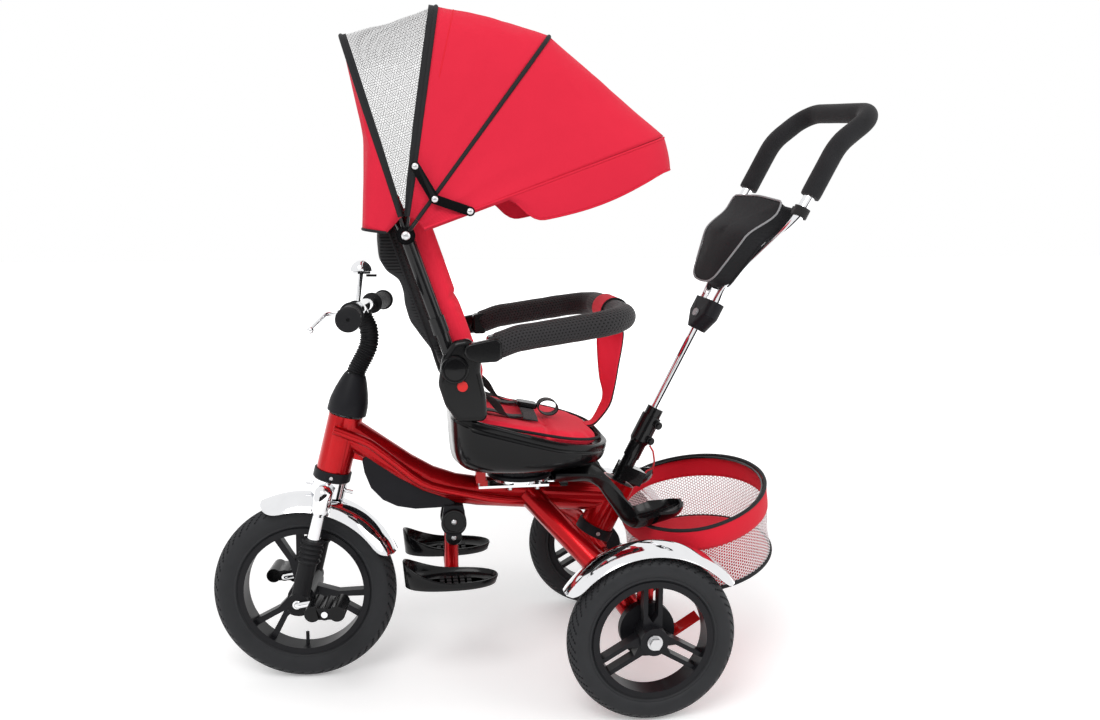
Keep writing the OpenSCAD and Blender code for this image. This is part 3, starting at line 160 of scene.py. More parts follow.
class Finish:  # one material on a Principled shader
    def __init__(self, name, fixed):
        self.material = bpy.data.materials.new(name)
        self.material.use_nodes = True
        self.tree = self.material.node_tree
        self.shader = self.tree.nodes["Principled BSDF"]
        self.wear(fixed)

    def wear(self, sockets):
        for name, value in sockets.items():
            self.plug(self.shader.inputs[name], value)

    def plug(self, socket, value):
        if isinstance(value, Wire):
            self.tree.links.new(value.socket, socket)
        elif socket.type == "RGBA":
            socket.default_value = (*value, 1)
        else:
            socket.default_value = value

    def add(self, kind, settings, sockets, output=0):
        node = self.tree.nodes.new(kind)
        for name, value in settings.items():
            if name == "stops":
                while len(node.color_ramp.elements) < len(value):
                    node.color_ramp.elements.new(0.5)
                for element, (position, colour) in zip(node.color_ramp.elements, value):
                    element.position, element.color = position, (*colour, 1)
            else:
                setattr(node, name, value)
        for name, value in sockets.items():
            self.plug(node.inputs[name], value)
        return Wire(self, node.outputs[output])

    def coordinates(self, kind="Object"):
        return self.add("ShaderNodeTexCoord", {}, {}, kind)

    def axis(self, vector, name):
        return self.add("ShaderNodeSeparateXYZ", {}, {"Vector": vector}, name)

    def noise(self, vector, scale, detail=3.0, roughness=0.5):
        return self.add("ShaderNodeTexNoise", {}, {"Vector": vector, "Scale": scale, "Detail": detail,
                                                   "Roughness": roughness})

    def mix(self, factor, first, second):
        return self.add("ShaderNodeMix", {"data_type": "RGBA"}, {0: factor, 6: first, 7: second}, 2)

    def bump(self, height, strength, distance=0.001, normal=None):
        sockets = {"Strength": strength, "Distance": distance, "Height": height}
        if normal:
            sockets["Normal"] = normal
        return self.add("ShaderNodeBump", {}, sockets)


aimCamera()
scene.view_settings.view_transform = "Standard"
hangLamp("keyLamp", (0.9, 1.9, 2.6), (0, 0, 0.5), lights["key"], 1.6)
hangLamp("fillLamp", (-1.6, 1.2, 1.5), (0, 0, 0.5), lights["fill"], 1.4)


def paintWorld():
    world = bpy.data.worlds.new("studio")
    world.use_nodes = True
    scene.world = world
    tree = world.node_tree
    path = tree.nodes.new("ShaderNodeLightPath")
    seen = tree.nodes.new("ShaderNodeMath")
    seen.operation = "MAXIMUM"
    tree.links.new(path.outputs["Is Camera Ray"], seen.inputs[0])
    glossy = tree.nodes.new("ShaderNodeMath")
    glossy.operation = "MAXIMUM"
    tree.links.new(path.outputs["Is Glossy Ray"], glossy.inputs[0])
    tree.links.new(path.outputs["Is Transmission Ray"], glossy.inputs[1])
    tree.links.new(glossy.outputs[0], seen.inputs[1])
    level = tree.nodes.new("ShaderNodeMapRange")
    level.inputs["To Min"].default_value, level.inputs["To Max"].default_value = lights["world"], 1.0
    tree.links.new(seen.outputs[0], level.inputs["Value"])
    background = tree.nodes["Background"]
    background.inputs["Color"].default_value = (1, 1, 1, 1)
    tree.links.new(level.outputs[0], background.inputs["Strength"])


def layPlate(name, size):
    shape = bmesh.new()
    bmesh.ops.create_grid(shape, x_segments=1, y_segments=1, size=size)
    mesh = bpy.data.meshes.new(name)
    shape.to_mesh(mesh)
    shape.free()
    plate = bpy.data.objects.new(name, mesh)
    scene.collection.objects.link(plate)
    return plate


def layFloor():
    floorPiece = layPlate("floor", 14)
    finish = Finish("paleFloor", {"Roughness": 0.9, "Specular IOR Level": 0.1})
    camera = finish.add("ShaderNodeLightPath", {}, {}, "Is Camera Ray")
    glossy = finish.add("ShaderNodeLightPath", {}, {}, "Is Glossy Ray")
    clear = finish.add("ShaderNodeLightPath", {}, {}, "Is Transmission Ray")
    seen = camera.maths("MAXIMUM", camera, glossy.maths("MAXIMUM", glossy, clear))
    distance = finish.add("ShaderNodeVectorMath", {"operation": "LENGTH"}, {0: finish.coordinates()}, "Value")
    away = distance.step(0.9, 2.6)
    finish.wear({"Base Color": finish.mix(seen, (lights["floor"],) * 3, (0.985, 0.985, 0.985)),
                 "Emission Color": finish.mix(seen * (away * 0.75 + 0.25), (0, 0, 0), (0.9, 0.9, 0.9)),
                 "Emission Strength": 1.0})
    floorPiece.data.materials.append(finish.material)
    # a dark card behind the camera, seen only by mirrors
    cardPiece = layPlate("card", 1)
    upright = Matrix.Rotation(radians(90), 4, "X") @ Matrix.Diagonal((2.6, 0.42, 1, 1))
    cardPiece.matrix_world = Matrix.Translation((0.1, 3.1, 0.55)) @ upright
    cardPiece.visible_camera = cardPiece.visible_diffuse = cardPiece.visible_shadow = False
    cardPiece.visible_transmission = False
    grey = Finish("cardGrey", {"Base Color": (0.02, 0.02, 0.022), "Roughness": 1.0, "Specular IOR Level": 0.0})
    cardPiece.data.materials.append(grey.material)


paintWorld()
layFloor()
print("camera, lamps and floor set")

# finishes
def speckled(finish, coordinates, scale, low, high, detail=3.0):  # colour between two values by noise
    cloud = finish.noise(coordinates, scale, detail)
    return finish.mix(cloud, low, high)


def makePaint(name, low, high):
    finish = Finish(name, {"Metallic": 0.7, "Specular IOR Level": 0.12, "Coat Weight": 0.26, "Coat Roughness": 0.03,
                           "Coat IOR": 1.5})
    spot = finish.coordinates()
    flakes = finish.noise(spot, 2600, 2.0)
    orange = finish.noise(spot, 90, 2.0)
    finish.wear({"Base Color": speckled(finish, spot, 14, low, high), "Roughness": flakes * 0.16 + 0.2,
                 "Normal": finish.bump(orange, 0.05, 0.0006)})
    return finish.material


def makeMetal(name, colour, roughness, spread, grain, stretch=1.0):
    finish = Finish(name, {"Metallic": 1.0})
    spot = finish.add("ShaderNodeMapping", {}, {"Vector": finish.coordinates(), "Scale": (1, stretch, 1)})
    cloud = finish.noise(spot, 45, 4.0)
    rub = finish.noise(spot, grain, 3.0, 0.6)
    darker = tuple(value * 0.9 for value in colour)
    finish.wear({"Base Color": finish.mix(cloud, darker, colour),
                 "Roughness": cloud * spread + rub * spread + roughness,
                 "Normal": finish.bump(rub, 0.04, 0.0004)})
    return finish.material


def makePlastic(name, colour, roughness, grain=900, depth=0.12, coat=0.0, spread=0.5):
    finish = Finish(name, {"Coat Weight": coat, "Coat Roughness": 0.05, "Specular IOR Level": 0.14})
    spot = finish.coordinates()
    pits = finish.noise(spot, grain, 2.0, 0.6)
    cloud = finish.noise(spot, 22, 4.0)
    lighter = tuple(value * (1 + spread) + 0.001 for value in colour)
    finish.wear({"Base Color": finish.mix(cloud, colour, lighter),
                 "Roughness": cloud * 0.12 + pits * 0.08 + (roughness - 0.1),
                 "Normal": finish.bump(pits, depth, 0.0004)})
    return finish.material


def makeTyre(name):
    finish = Finish(name, {"Specular IOR Level": 0.28})
    spot = finish.coordinates()
    dust = finish.noise(spot, 30, 5.0, 0.6)
    pores = finish.noise(spot, 1500, 2.0)
    finish.wear({"Base Color": finish.mix(dust, (0.012, 0.0125, 0.014), (0.026, 0.027, 0.03)),
                 "Roughness": dust * 0.2 + 0.46, "Normal": finish.bump(pores, 0.2, 0.0005)})
    return finish.material


def threads(across, along, pitch):  # over and under of a plain weave, 0 to 1
    turn = 2 * pi / pitch
    warp = (across * turn).cosine()
    weft = (along * turn).cosine()
    over = (across * (turn / 2)).cosine() * (along * (turn / 2)).cosine()
    return warp * 0.25 + weft * 0.25 + over * 0.25 + 0.5


def makeCloth(name, dark, light, pitch=0.0011, sheen=0.25, uv=True, axes=("X", "Y"), roughness=0.82, weave=0.35):
    finish = Finish(name, {"Sheen Weight": sheen, "Sheen Roughness": 0.45,
                           "Sheen Tint": tuple(min(1, value + 0.25) for value in light),
                           "Specular IOR Level": 0.25})
    spot = finish.coordinates("UV" if uv else "Object")
    across, along = finish.axis(spot, axes[0]), finish.axis(spot, axes[1])
    cross = threads(across, along, pitch)
    solid = finish.coordinates()
    cloud = finish.noise(solid, 9, 4.0, 0.55)
    creases = finish.noise(solid, 26, 3.0, 0.6)
    fuzz = finish.noise(solid, 420, 2.0)
    tone = cross * 0.35 + cloud * 0.45 + fuzz * 0.2
    finish.wear({"Base Color": finish.mix(tone, dark, light), "Roughness": cross * -0.1 + roughness,
                 "Normal": finish.bump(cross, weave, 0.0003, finish.bump(creases, 0.22, 0.004))})
    return finish.material


def latticeOf(across, along, pitch):  # high on a staggered grid of spots, 3 at each middle
    turn = 2 * pi / pitch
    first = (across * turn).cosine()
    second = (across * (turn / 2) + along * (turn * 0.866)).cosine()
    third = (across * (turn / 2) - along * (turn * 0.866)).cosine()
    return first + second + third


def makeNet(name, thread, pitch, opening, shade=0.6):
    # open netting; opening is the height above which it is a hole
    finish = Finish(name, {"Roughness": 0.7, "Specular IOR Level": 0.2})
    spot = finish.coordinates("UV")
    lattice = latticeOf(finish.axis(spot, "X"), finish.axis(spot, "Y"), pitch)
    cloud = finish.noise(finish.coordinates(), 60, 3.0)
    finish.wear({"Base Color": finish.mix(cloud, tuple(value * shade for value in thread), thread),
                 "Alpha": 1 - lattice.step(opening - 0.12, opening + 0.12),
                 "Normal": finish.bump(lattice, 0.3, 0.0006)})
    return finish.material


def makeAirMesh(name, shadedHole, thread, pitch, uv=True, axes=("X", "Y")):  # thick spacer mesh with round dimples
    finish = Finish(name, {"Sheen Weight": 0.15, "Sheen Roughness": 0.5, "Specular IOR Level": 0.25})
    spot = finish.coordinates("UV" if uv else "Object")
    lattice = latticeOf(finish.axis(spot, axes[0]), finish.axis(spot, axes[1]), pitch)
    dimple = lattice.step(0.2, 1.6)
    fuzz = finish.noise(finish.coordinates(), 900, 2.0)
    # painted shade: the dimples take the near-black hole colour, the shade inside the openings, on top of the bump
    # that presses them in
    finish.wear({"Base Color": finish.mix(dimple * 0.8 + fuzz * 0.2, thread, shadedHole), "Roughness": dimple * 0.2 + 0.7,
                 "Normal": finish.bump(1 - dimple, 0.8, 0.0012)})
    return finish.material


def makeWebbing(name, dark, light, pitch=0.0016):
    finish = Finish(name, {"Sheen Weight": 0.2, "Specular IOR Level": 0.25})
    spot = finish.coordinates("UV")
    across, along = finish.axis(spot, "X"), finish.axis(spot, "Y")
    ribs = (along * (2 * pi / pitch)).cosine() * 0.5 + 0.5
    rows = (across * (2 * pi / (pitch * 2))).cosine() * 0.5 + 0.5
    worn = finish.noise(finish.coordinates(), 70, 3.0)
    finish.wear({"Base Color": finish.mix(ribs * 0.5 + worn * 0.5, dark, light), "Roughness": ribs * -0.1 + 0.85,
                 "Normal": finish.bump(ribs * 0.6 + rows * 0.4, 0.5, 0.0004)})
    return finish.material


def makeFoam(name):
    finish = Finish(name, {"Specular IOR Level": 0.2, "Sheen Weight": 0.1})
    spot = finish.coordinates()
    cells = finish.noise(spot, 1300, 3.0, 0.7)
    cloud = finish.noise(spot, 35, 4.0)
    finish.wear({"Base Color": finish.mix(cloud, (0.008, 0.008, 0.009), (0.02, 0.02, 0.022)),
                 "Roughness": cells * 0.1 + 0.78,
                 "Normal": finish.bump(cells, 0.45, 0.0006)})
    return finish.material


finishes = {
    "redPaint": makePaint("redPaint", (0.4, 0.003, 0.006), (0.52, 0.005, 0.009)),
    "steel": makeMetal("steel", (0.66, 0.66, 0.67), 0.22, 0.12, 500),
    "chrome": makeMetal("chrome", (0.88, 0.885, 0.9), 0.03, 0.03, 260),
    "blackPlastic": makePlastic("blackPlastic", (0.0026, 0.0026, 0.003), 0.22, coat=0.14),
    "darkPlastic": makePlastic("darkPlastic", (0.0085, 0.0085, 0.0105), 0.46, 700, 0.25),
    "blackMetal": makePlastic("blackMetal", (0.004, 0.004, 0.0045), 0.22, 300, 0.05, 0.3),
    "rubber": makePlastic("rubber", (0.009, 0.009, 0.01), 0.5, 1100, 0.2),
    "tyre": makeTyre("tyre"),
    "redPlastic": makePlastic("redPlastic", (0.62, 0.012, 0.012), 0.3, 500, 0.08, 0.3, 0.15),
    "greyPlastic": makePlastic("greyPlastic", (0.3, 0.3, 0.31), 0.4, 600, 0.1, 0.1, 0.15),
    "rimPlastic": makePlastic("rimPlastic", (0.008, 0.008, 0.0095), 0.36, 600, 0.15, 0.05),
    "canopyCloth": makeCloth("canopyCloth", (0.62, 0.01, 0.034), (0.76, 0.017, 0.05)),
    "cushionCloth": makeCloth("cushionCloth", (0.82, 0.015, 0.042), (0.97, 0.027, 0.064), 0.0014, uv=False),
    "bandCloth": makeCloth("bandCloth", (0.62, 0.008, 0.024), (0.78, 0.014, 0.035)),
    "piping": makeCloth("piping", (0.008, 0.008, 0.009), (0.02, 0.02, 0.022), 0.0012, 0.1),
    "bagCloth": makeCloth("bagCloth", (0.006, 0.006, 0.007), (0.016, 0.016, 0.018), 0.0012, 0.08, False,
                          ("Y", "Z")),
    "bagPiping": makeCloth("bagPiping", (0.22, 0.22, 0.23), (0.34, 0.34, 0.35), 0.0012, 0.1),
    "windowNet": makeNet("windowNet", (0.07, 0.07, 0.075), 0.0036, -1.17),
    "basketNet": makeNet("basketNet", (0.92, 0.86, 0.87), 0.0052, -0.6, 0.92),
    "airMesh": makeAirMesh("airMesh", (0.002, 0.002, 0.002), (0.026, 0.024, 0.026), 0.0046),
    "coverMesh": makeAirMesh("coverMesh", (0.004, 0.004, 0.0045), (0.026, 0.026, 0.028), 0.0042, False, ("Y", "Z")),
    "webbing": makeWebbing("webbing", (0.006, 0.006, 0.006), (0.016, 0.016, 0.017)),
    "redCord": makeWebbing("redCord", (0.5, 0.01, 0.015), (0.8, 0.05, 0.06), 0.002),
    "foam": makeFoam("foam"),
}
print("finishes made:", len(finishes))


# helpers for the pieces
def keep(name, shape, finish, body, slot=None, stands=(), space=None, sharp=35):
    if space is not None:
        bmesh.ops.transform(shape, matrix=space, verts=shape.verts)
    mesh = bpy.data.meshes.new(name)
    shape.to_mesh(mesh)
    shape.free()
    mesh.shade_smooth()
    mesh.set_sharp_from_angle(angle=radians(sharp))
    mesh.materials.append(finishes[finish])
    piece = bpy.data.objects.new(name, mesh)
    scene.collection.objects.link(piece)
    if stands:
        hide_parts(*stands)
    if body:
        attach(piece, body)
    return piece


def roundEdges(piece, width, segments=2, angle=38):
    edge = piece.modifiers.new("edge", "BEVEL")
    edge.width, edge.segments, edge.limit_method = width, segments, "ANGLE"
    edge.angle_limit, edge.harden_normals = radians(angle), True
    return piece


def thicken(piece, thickness, offset=0.0):
    wall = piece.modifiers.new("wall", "SOLIDIFY")
    wall.thickness, wall.offset = thickness, offset
    return piece


def declareCloth(piece, width, length, area):
    # metres and square metres of the cut, from the CAD's hoops and rings and never from this mesh,
    # so that the cloth's area is tested against something else
    drawn = sum(face.area for face in piece.data.polygons)
    print("cloth", piece.name, width, length, area, "drawn over cut", round(drawn / area, 3))


def refine(piece, levels=1):
    smoother = piece.modifiers.new("smoother", "SUBSURF")
    smoother.levels = smoother.render_levels = levels
    return piece


def dress(node, finish, slot, edge=0.0006, sharp=32, segments=2):
    # a merged copy of a CAD node with softened edges
    shape = bmesh.new()
    shape.from_mesh(nodes[node].data)
    bmesh.ops.remove_doubles(shape, verts=shape.verts, dist=0.00002)
    bmesh.ops.dissolve_limit(shape, angle_limit=radians(0.6), verts=shape.verts, edges=shape.edges)
    piece = keep(node + "_finished", shape, finish, nodes[node]["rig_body"], slot, [node], sharp=sharp)
    if edge:
        roundEdges(piece, edge, segments, sharp + 3)
    return piece


def stationsAlong(points, upHint):  # frames whose Z runs along the path
    stations = []
    count = len(points)
    for index, point in enumerate(points):
        ahead = (points[min(index + 1, count - 1)] - points[max(index - 1, 0)]).normalized()
        side = ahead.cross(upHint).normalized()
        up = side.cross(ahead)
        stations.append(Matrix.Translation(point) @ Matrix((side, up, ahead)).transposed().to_4x4())
    return stations


def sweep(points, radii, sides=24, upHint=(0, 0, 1), closed=False, oval=1.0):
    # a ring extruded from station to station; radii is a number or one per point
    upHint = Vector(upHint)
    count = len(points)
    if closed:
        loop = [points[-1], *points, points[0]]
        stations = stationsAlong(loop, upHint)[1:-1]
    else:
        stations = stationsAlong(points, upHint)
    radiusAt = radii if hasattr(radii, "__len__") else [radii] * count
    shape = bmesh.new()
    grid = shape.loops.layers.uv.new("UVMap")
    roundLayer = shape.verts.layers.float.new("roundStep")
    alongLayer = shape.verts.layers.float.new("alongStep")
    ring = bmesh.ops.create_circle(shape, segments=sides, radius=1.0)["verts"]
    for index, vert in enumerate(ring):
        vert[roundLayer] = index
    spots = [vert.co.copy() for vert in ring]
    for vert, spot in zip(ring, spots):
        vert.co = stations[0] @ Vector((spot.x * radiusAt[0], spot.y * radiusAt[0] * oval, 0))
    edges = [edge for edge in shape.edges]
    runs = [0.0]
    for index in range(1, count):
        runs.append(runs[-1] + (points[index] - points[index - 1]).length)
    for index in range(1, count):
        out = bmesh.ops.extrude_edge_only(shape, edges=edges)["geom"]
        newVerts = [item for item in out if isinstance(item, bmesh.types.BMVert)]
        edges = [item for item in out if isinstance(item, bmesh.types.BMEdge)]
        edges = [item for item in edges if all(vert in set(newVerts) for vert in item.verts)]
        for vert in newVerts:
            spot = spots[round(vert[roundLayer])]
            vert.co = stations[index] @ Vector((spot.x * radiusAt[index], spot.y * radiusAt[index] * oval, 0))
            vert[alongLayer] = index
    lastVerts = {vert for edge in edges for vert in edge.verts}
    if closed:
        firstEdges = [edge for edge in shape.edges if all(vert in set(ring) for vert in edge.verts)]
        bmesh.ops.bridge_loops(shape, edges=firstEdges + edges)
    else:
        bmesh.ops.contextual_create(shape, geom=ring)
        bmesh.ops.contextual_create(shape, geom=list(lastVerts))
    bmesh.ops.recalc_face_normals(shape, faces=shape.faces)
    girth = 2 * pi * max(radiusAt) * 0.001
    for face in shape.faces:
        if len(face.verts) > 4:
            continue
        turns = [vert[roundLayer] for vert in face.verts]
        wraps = max(turns) - min(turns) > sides / 2
        steps = [vert[alongLayer] for vert in face.verts]
        comesBack = closed and max(steps) - min(steps) > 1.5
        for loop in face.loops:
            turn = loop.vert[roundLayer]
            if wraps and turn < sides / 2:
                turn += sides
            run = runs[round(loop.vert[alongLayer])]
            if comesBack and loop.vert[alongLayer] < 0.5:
                run = runs[-1] + (points[-1] - points[0]).length
            loop[grid].uv = (turn / sides * girth, run * 0.001)
    return shape


def roundPath(corners, bends, steps=8):  # points through corners with round bends of the given radii
    points = [Vector(corners[0])]
    for index in range(1, len(corners) - 1):
        before, here, after = (Vector(corner) for corner in corners[index - 1:index + 2])
        inward, outward = (here - before).normalized(), (after - here).normalized()
        turn = inward.angle(outward)
        bend = bends[index - 1] if hasattr(bends, "__len__") else bends
        if turn < 0.001:
            points.append(here)
            continue
        start = here - inward * bend * tan(turn / 2)
        normal = (outward - outward.dot(inward) * inward).normalized()
        count = max(2, round(turn * steps * 0.7))
        points += [start + normal * bend * (1 - cos(turn * step / count)) + inward * bend * sin(turn * step / count)
                   for step in range(count + 1)]
    points.append(Vector(corners[-1]))
    return points


def evenPath(points, spacing):  # the same line with points at even spacing
    result, left = [points[0]], spacing
    for start, end in zip(points, points[1:]):
        length = (end - start).length
        reach = left
        while reach < length:
            result.append(start.lerp(end, reach / length))
            reach += spacing
        left = reach - length
    if (result[-1] - points[-1]).length > spacing * 0.4:
        result.append(points[-1])
    else:
        result[-1] = points[-1]
    return result


def mirrored(points):  # the line and its mirror image as one
    return points + [Vector((point.x, -point.y, point.z)) for point in reversed(points)]


def thinned(points, gap):  # without the points that crowd
    cleaned = [points[0]]
    for point in points[1:]:
        if (point - cleaned[-1]).length > gap:
            cleaned.append(point)
    return cleaned


def spinProfile(profile, axis, steps):  # a line of points turned about an axis through the origin
    shape = bmesh.new()
    verts = [shape.verts.new(point) for point in profile]
    for first, second in zip(verts, verts[1:]):
        shape.edges.new((first, second))
    bmesh.ops.spin(shape, geom=shape.verts[:] + shape.edges[:], cent=(0, 0, 0), axis=axis, steps=steps,
                   angle=2 * pi,
                   use_merge=True)
    bmesh.ops.recalc_face_normals(shape, faces=shape.faces)
    return shape


def loftRings(rings):  # rings of points joined one to the next, closed at both ends
    shape = bmesh.new()
    first = previous = None
    for line in rings:
        verts = [shape.verts.new(point) for point in line]
        edges = [shape.edges.new((verts[step - 1], verts[step])) for step in range(len(verts))]
        if previous:
            bmesh.ops.bridge_loops(shape, edges=previous + edges)
        first, previous = first or edges, edges
    bmesh.ops.contextual_create(shape, geom=first)
    bmesh.ops.contextual_create(shape, geom=previous)
    bmesh.ops.recalc_face_normals(shape, faces=shape.faces)
    return shape


def spread(columns, rows, width, length, place):  # a cloth grid laid out by place(u, v); UVs in metres
    # with no width, U is the run along the first edge and V the distance from it
    shape = bmesh.new()
    grid = shape.loops.layers.uv.new("UVMap")
    bmesh.ops.create_grid(shape, x_segments=columns, y_segments=rows, size=0.5, calc_uvs=True)
    firstEdge = [place(step / columns, 0) for step in range(columns + 1)]
    runs = [0.0]
    for near, far in zip(firstEdge, firstEdge[1:]):
        runs.append(runs[-1] + (far - near).length / 1000)
    for face in shape.faces:
        for loop in face.loops:
            u, v = loop.vert.co.x + 0.5, loop.vert.co.y + 0.5
            if width:
                loop[grid].uv = (u * width, v * length)
            else:
                step = min(columns, round(u * columns))
                loop[grid].uv = (runs[step], (place(u, v) - firstEdge[step]).length / 1000)
    for vert in shape.verts:
        vert.co = place(vert.co.x + 0.5, vert.co.y + 0.5)
    bmesh.ops.recalc_face_normals(shape, faces=shape.faces)
    return shape


# hard parts that keep their CAD shape
dressing = {  # node: finish, record slot, edge radius, smoothing angle
    "main_frame": ("redPaint", "red_paint", 0.0008, 40), "rear_frame": ("redPaint", "red_paint", 0.0008, 40),
    "steel_hardware": ("steel", "steel", 0.0004, 32), "frame_covers": ("darkPlastic", "dark_plastic", 0.0014, 30),
    "seat_mount": ("chrome", "chrome", 0.0006, 32),
    "basket_frame": ("blackMetal", "black_metal", 0.0004, 40), "fork_crown": ("chrome", "chrome", 0.0008, 32),
    "fork_lowers": ("rubber", "black_rubber", 0.0006, 32), "handlebar": ("chrome", "chrome", 0.0, 44),
    "bell": ("chrome", "chrome", 0.0003, 32), "bell_lever": ("blackPlastic", "black_plastic", 0.0005, 32),
    "brake_lever": ("chrome", "chrome", 0.0, 44), "front_rim": ("rimPlastic", "dark_plastic", 0.001, 30),
    "rear_rim_left": ("rimPlastic", "dark_plastic", 0.001, 30),
    "rear_rim_right": ("rimPlastic", "dark_plastic", 0.001, 30),
    "crank": ("chrome", "chrome", 0.0, 44), "pedal_left": ("blackPlastic", "black_plastic", 0.0012, 32),
    "pedal_right": ("blackPlastic", "black_plastic", 0.0012, 32),
    "brake_pedal_left": ("redPlastic", "red_plastic", 0.001, 32),
    "brake_pedal_right": ("redPlastic", "red_plastic", 0.001, 32),
    "footrest_leg": ("redPaint", "red_paint", 0.0008, 32),
    "seat_lock": ("redPlastic", "red_plastic", 0.0012, 32),
    "recline_button_left": ("redPlastic", "red_plastic", 0.0008, 32),
    "recline_button_right": ("redPlastic", "red_plastic", 0.0008, 32),
    "back_frame": ("blackMetal", "black_metal", 0.0006, 40),
    "safety_bar": ("blackPlastic", "black_plastic", 0.0014, 40),
    "canopy_hoops": ("blackMetal", "black_metal", 0.0003, 44),
    "canopy_bow": ("blackMetal", "black_metal", 0.0003, 44),
    "canopy_arms_rear": ("blackPlastic", "black_plastic", 0.0004, 32),
    "canopy_arms_front": ("blackPlastic", "black_plastic", 0.0004, 32),
    "handle_post": ("blackMetal", "black_metal", 0.0008, 32),
    "handle_joint": ("darkPlastic", "dark_plastic", 0.0016, 36),
    "handle_button": ("greyPlastic", "grey_plastic", 0.0008, 32),
}
for node, (finish, slotName, edge, sharp) in dressing.items():
    dress(node, finish, slotName, edge, sharp)
print("hard parts dressed:", len(dressing))
# the bell's thumb lever, short beside the back's cover
bellLever = {"pivotX": 0.2775, "share": 0.55}
for vert in bpy.data.objects["bell_lever_finished"].data.vertices:
    if vert.co.x < bellLever["pivotX"]:
        vert.co.x = bellLever["pivotX"] + (vert.co.x - bellLever["pivotX"]) * bellLever["share"]


# tyres with cut tread
tyreWork = {"columns": 208, "period": 4, "grooveDepth": 1.5, "treadReach": 62, "ridge": 0.6}


def turnTyre(outer, width, rim):
    middle, half, bead = (outer - width) / 2, width / 2, width / 2 - 7
    side = [(rim / 2 - 3, bead - 1), (rim / 2 - 1, bead), (rim / 2 + 2.5, bead + 1.4), (rim / 2 + 3.5, bead + 2.6),
            (rim / 2 + 5.5, bead + 2.8), (rim / 2 + 6.5, bead + 2.4), (middle - 9, half - 2.6),
            (middle - 4, half - 0.9)]
    arc = []
    for angle in range(86, -1, -8):
        lift = tyreWork["ridge"] if angle in (70, 62) else 0
        arc.append((middle + (half + lift) * cos(radians(angle)), (half + lift) * sin(radians(angle))))
    halfWide = side + arc
    profile = halfWide + [(radius, -y) for radius, y in reversed(halfWide)]
    shape = spinProfile([(radius, y, 0) for radius, y in profile], (0, 1, 0), tyreWork["columns"])
    grooves = []
    for face in shape.faces:
        spot = face.calc_center_median()
        reach = hypot(spot.x, spot.z)
        lean = atan2(spot.y, reach - middle) * 180 / pi
        if abs(lean) > tyreWork["treadReach"] or reach < middle:
            continue
        column = int((atan2(spot.z, spot.x) / (2 * pi) + 1) * tyreWork["columns"])
        row = int(abs(lean) / 8)
        shift = row if lean > 0 else row + 2
        slanted = (column + shift) % tyreWork["period"] == 0 and row > 0
        if slanted or row == 2 and (column + shift) % 2 == 0:
            grooves.append(face)
    bmesh.ops.inset_region(shape, faces=grooves, thickness=0.35, depth=-tyreWork["grooveDepth"],
                           use_even_offset=True)
    return shape


keep("frontTyreTread", turnTyre(305, 45, 219), "tyre", "front_wheel", "tyre", ["front_tyre"], hubSpace)
for sideName, sign in bothSides:
    rearHub = frameSpace @ Matrix.Translation((0, 225 * sign, 133))
    keep(sideName + "TyreTread", turnTyre(266, 42, 189), "tyre", sideName + "_wheel", "tyre",
         ["rear_tyre_" + sideName], rearHub)
print("tyres cut")


# fenders, rolled from one sheet
def rollFender(radius, crown, width, start, end, tip, name, body, space, stands):
    lean = arcSine(width / 2 / crown)

    def place(u, v):
        angle = start + (end - start) * v
        fromEnd = min(angle - start, end - angle)
        narrow = sqrt(max(0.0, 1 - (1 - min(1, fromEnd / tip)) ** 2.6))
        beta = (u * 2 - 1) * lean * (0.42 + 0.58 * narrow)
        reach = radius - crown + crown * cos(beta)
        return Vector((reach * cos(radians(angle)), crown * sin(beta), reach * sin(radians(angle))))

    shape = spread(14, 64, 0.08, 0.26, place)
    outward = shape.faces[:][0]
    if outward.normal.dot(outward.calc_center_median()) < 0:
        bmesh.ops.reverse_faces(shape, faces=shape.faces)
    piece = keep(name, shape, "chrome", body, "chrome", stands, space, 60)
    thicken(piece, 0.0016, -1)
    return roundEdges(piece, 0.0005, 2, 50)


def arcSine(value):
    return atan2(value, sqrt(1 - value * value))


rollFender(168.7, 46, 82, 66, 157, 13, "frontFenderShell", "fork", hubSpace, ["front_fender"])
stayY = 225 - 23 - 0.3 - 16 - 0.3 - 4
for sideName, sign in bothSides:
    rollFender(165, 45, 66, 34, 144, 12, sideName + "FenderShell", "frame",
               frameSpace @ Matrix.Translation((0, sign * (stayY + 33), 118)), ["rear_fenders"])
print("fenders rolled")


# handlebar: corrugated hose, cone and grips
hoseWork = {"pitch": 4.3, "crest": 15.6, "root": 13.7}


def turnHose():
    path = evenPath(roundPath([(0, 0, 378), (-1, 0, 386), (-12, 0, 428), (-6, 0, 455), (10, 0, 475)], [40, 60, 40]),
                    1.07)
    radii = []
    for index in range(len(path)):
        wave = cos(2 * pi * index * 1.07 / hoseWork["pitch"])
        swell = 0.5 + 0.5 * copysign(abs(wave) ** 0.6, wave)
        radii.append(hoseWork["root"] + (hoseWork["crest"] - hoseWork["root"]) * swell)
    keep("stemHose", sweep(path, radii, 28, (0, 1, 0)), "rubber", "fork", "black_rubber", ["stem_boot"], forkSpace,
         70)
    profile = [(29.5, 311), (32, 311), (32.4, 314), (32, 326), (31, 334), (27.4, 349), (23, 363), (19.6, 372),
               (17.6, 376.5),
               (16.4, 378), (14.5, 378)]
    shape = spinProfile([(radius, 0, height) for radius, height in profile], (0, 0, 1), 48)
    keep("stemCone", shape, "darkPlastic", "fork", "black_rubber", (), forkSpace, 50)


gripWork = {"rib": 15.6, "groove": 14.4, "flange": 18.4, "pitch": 5.2}


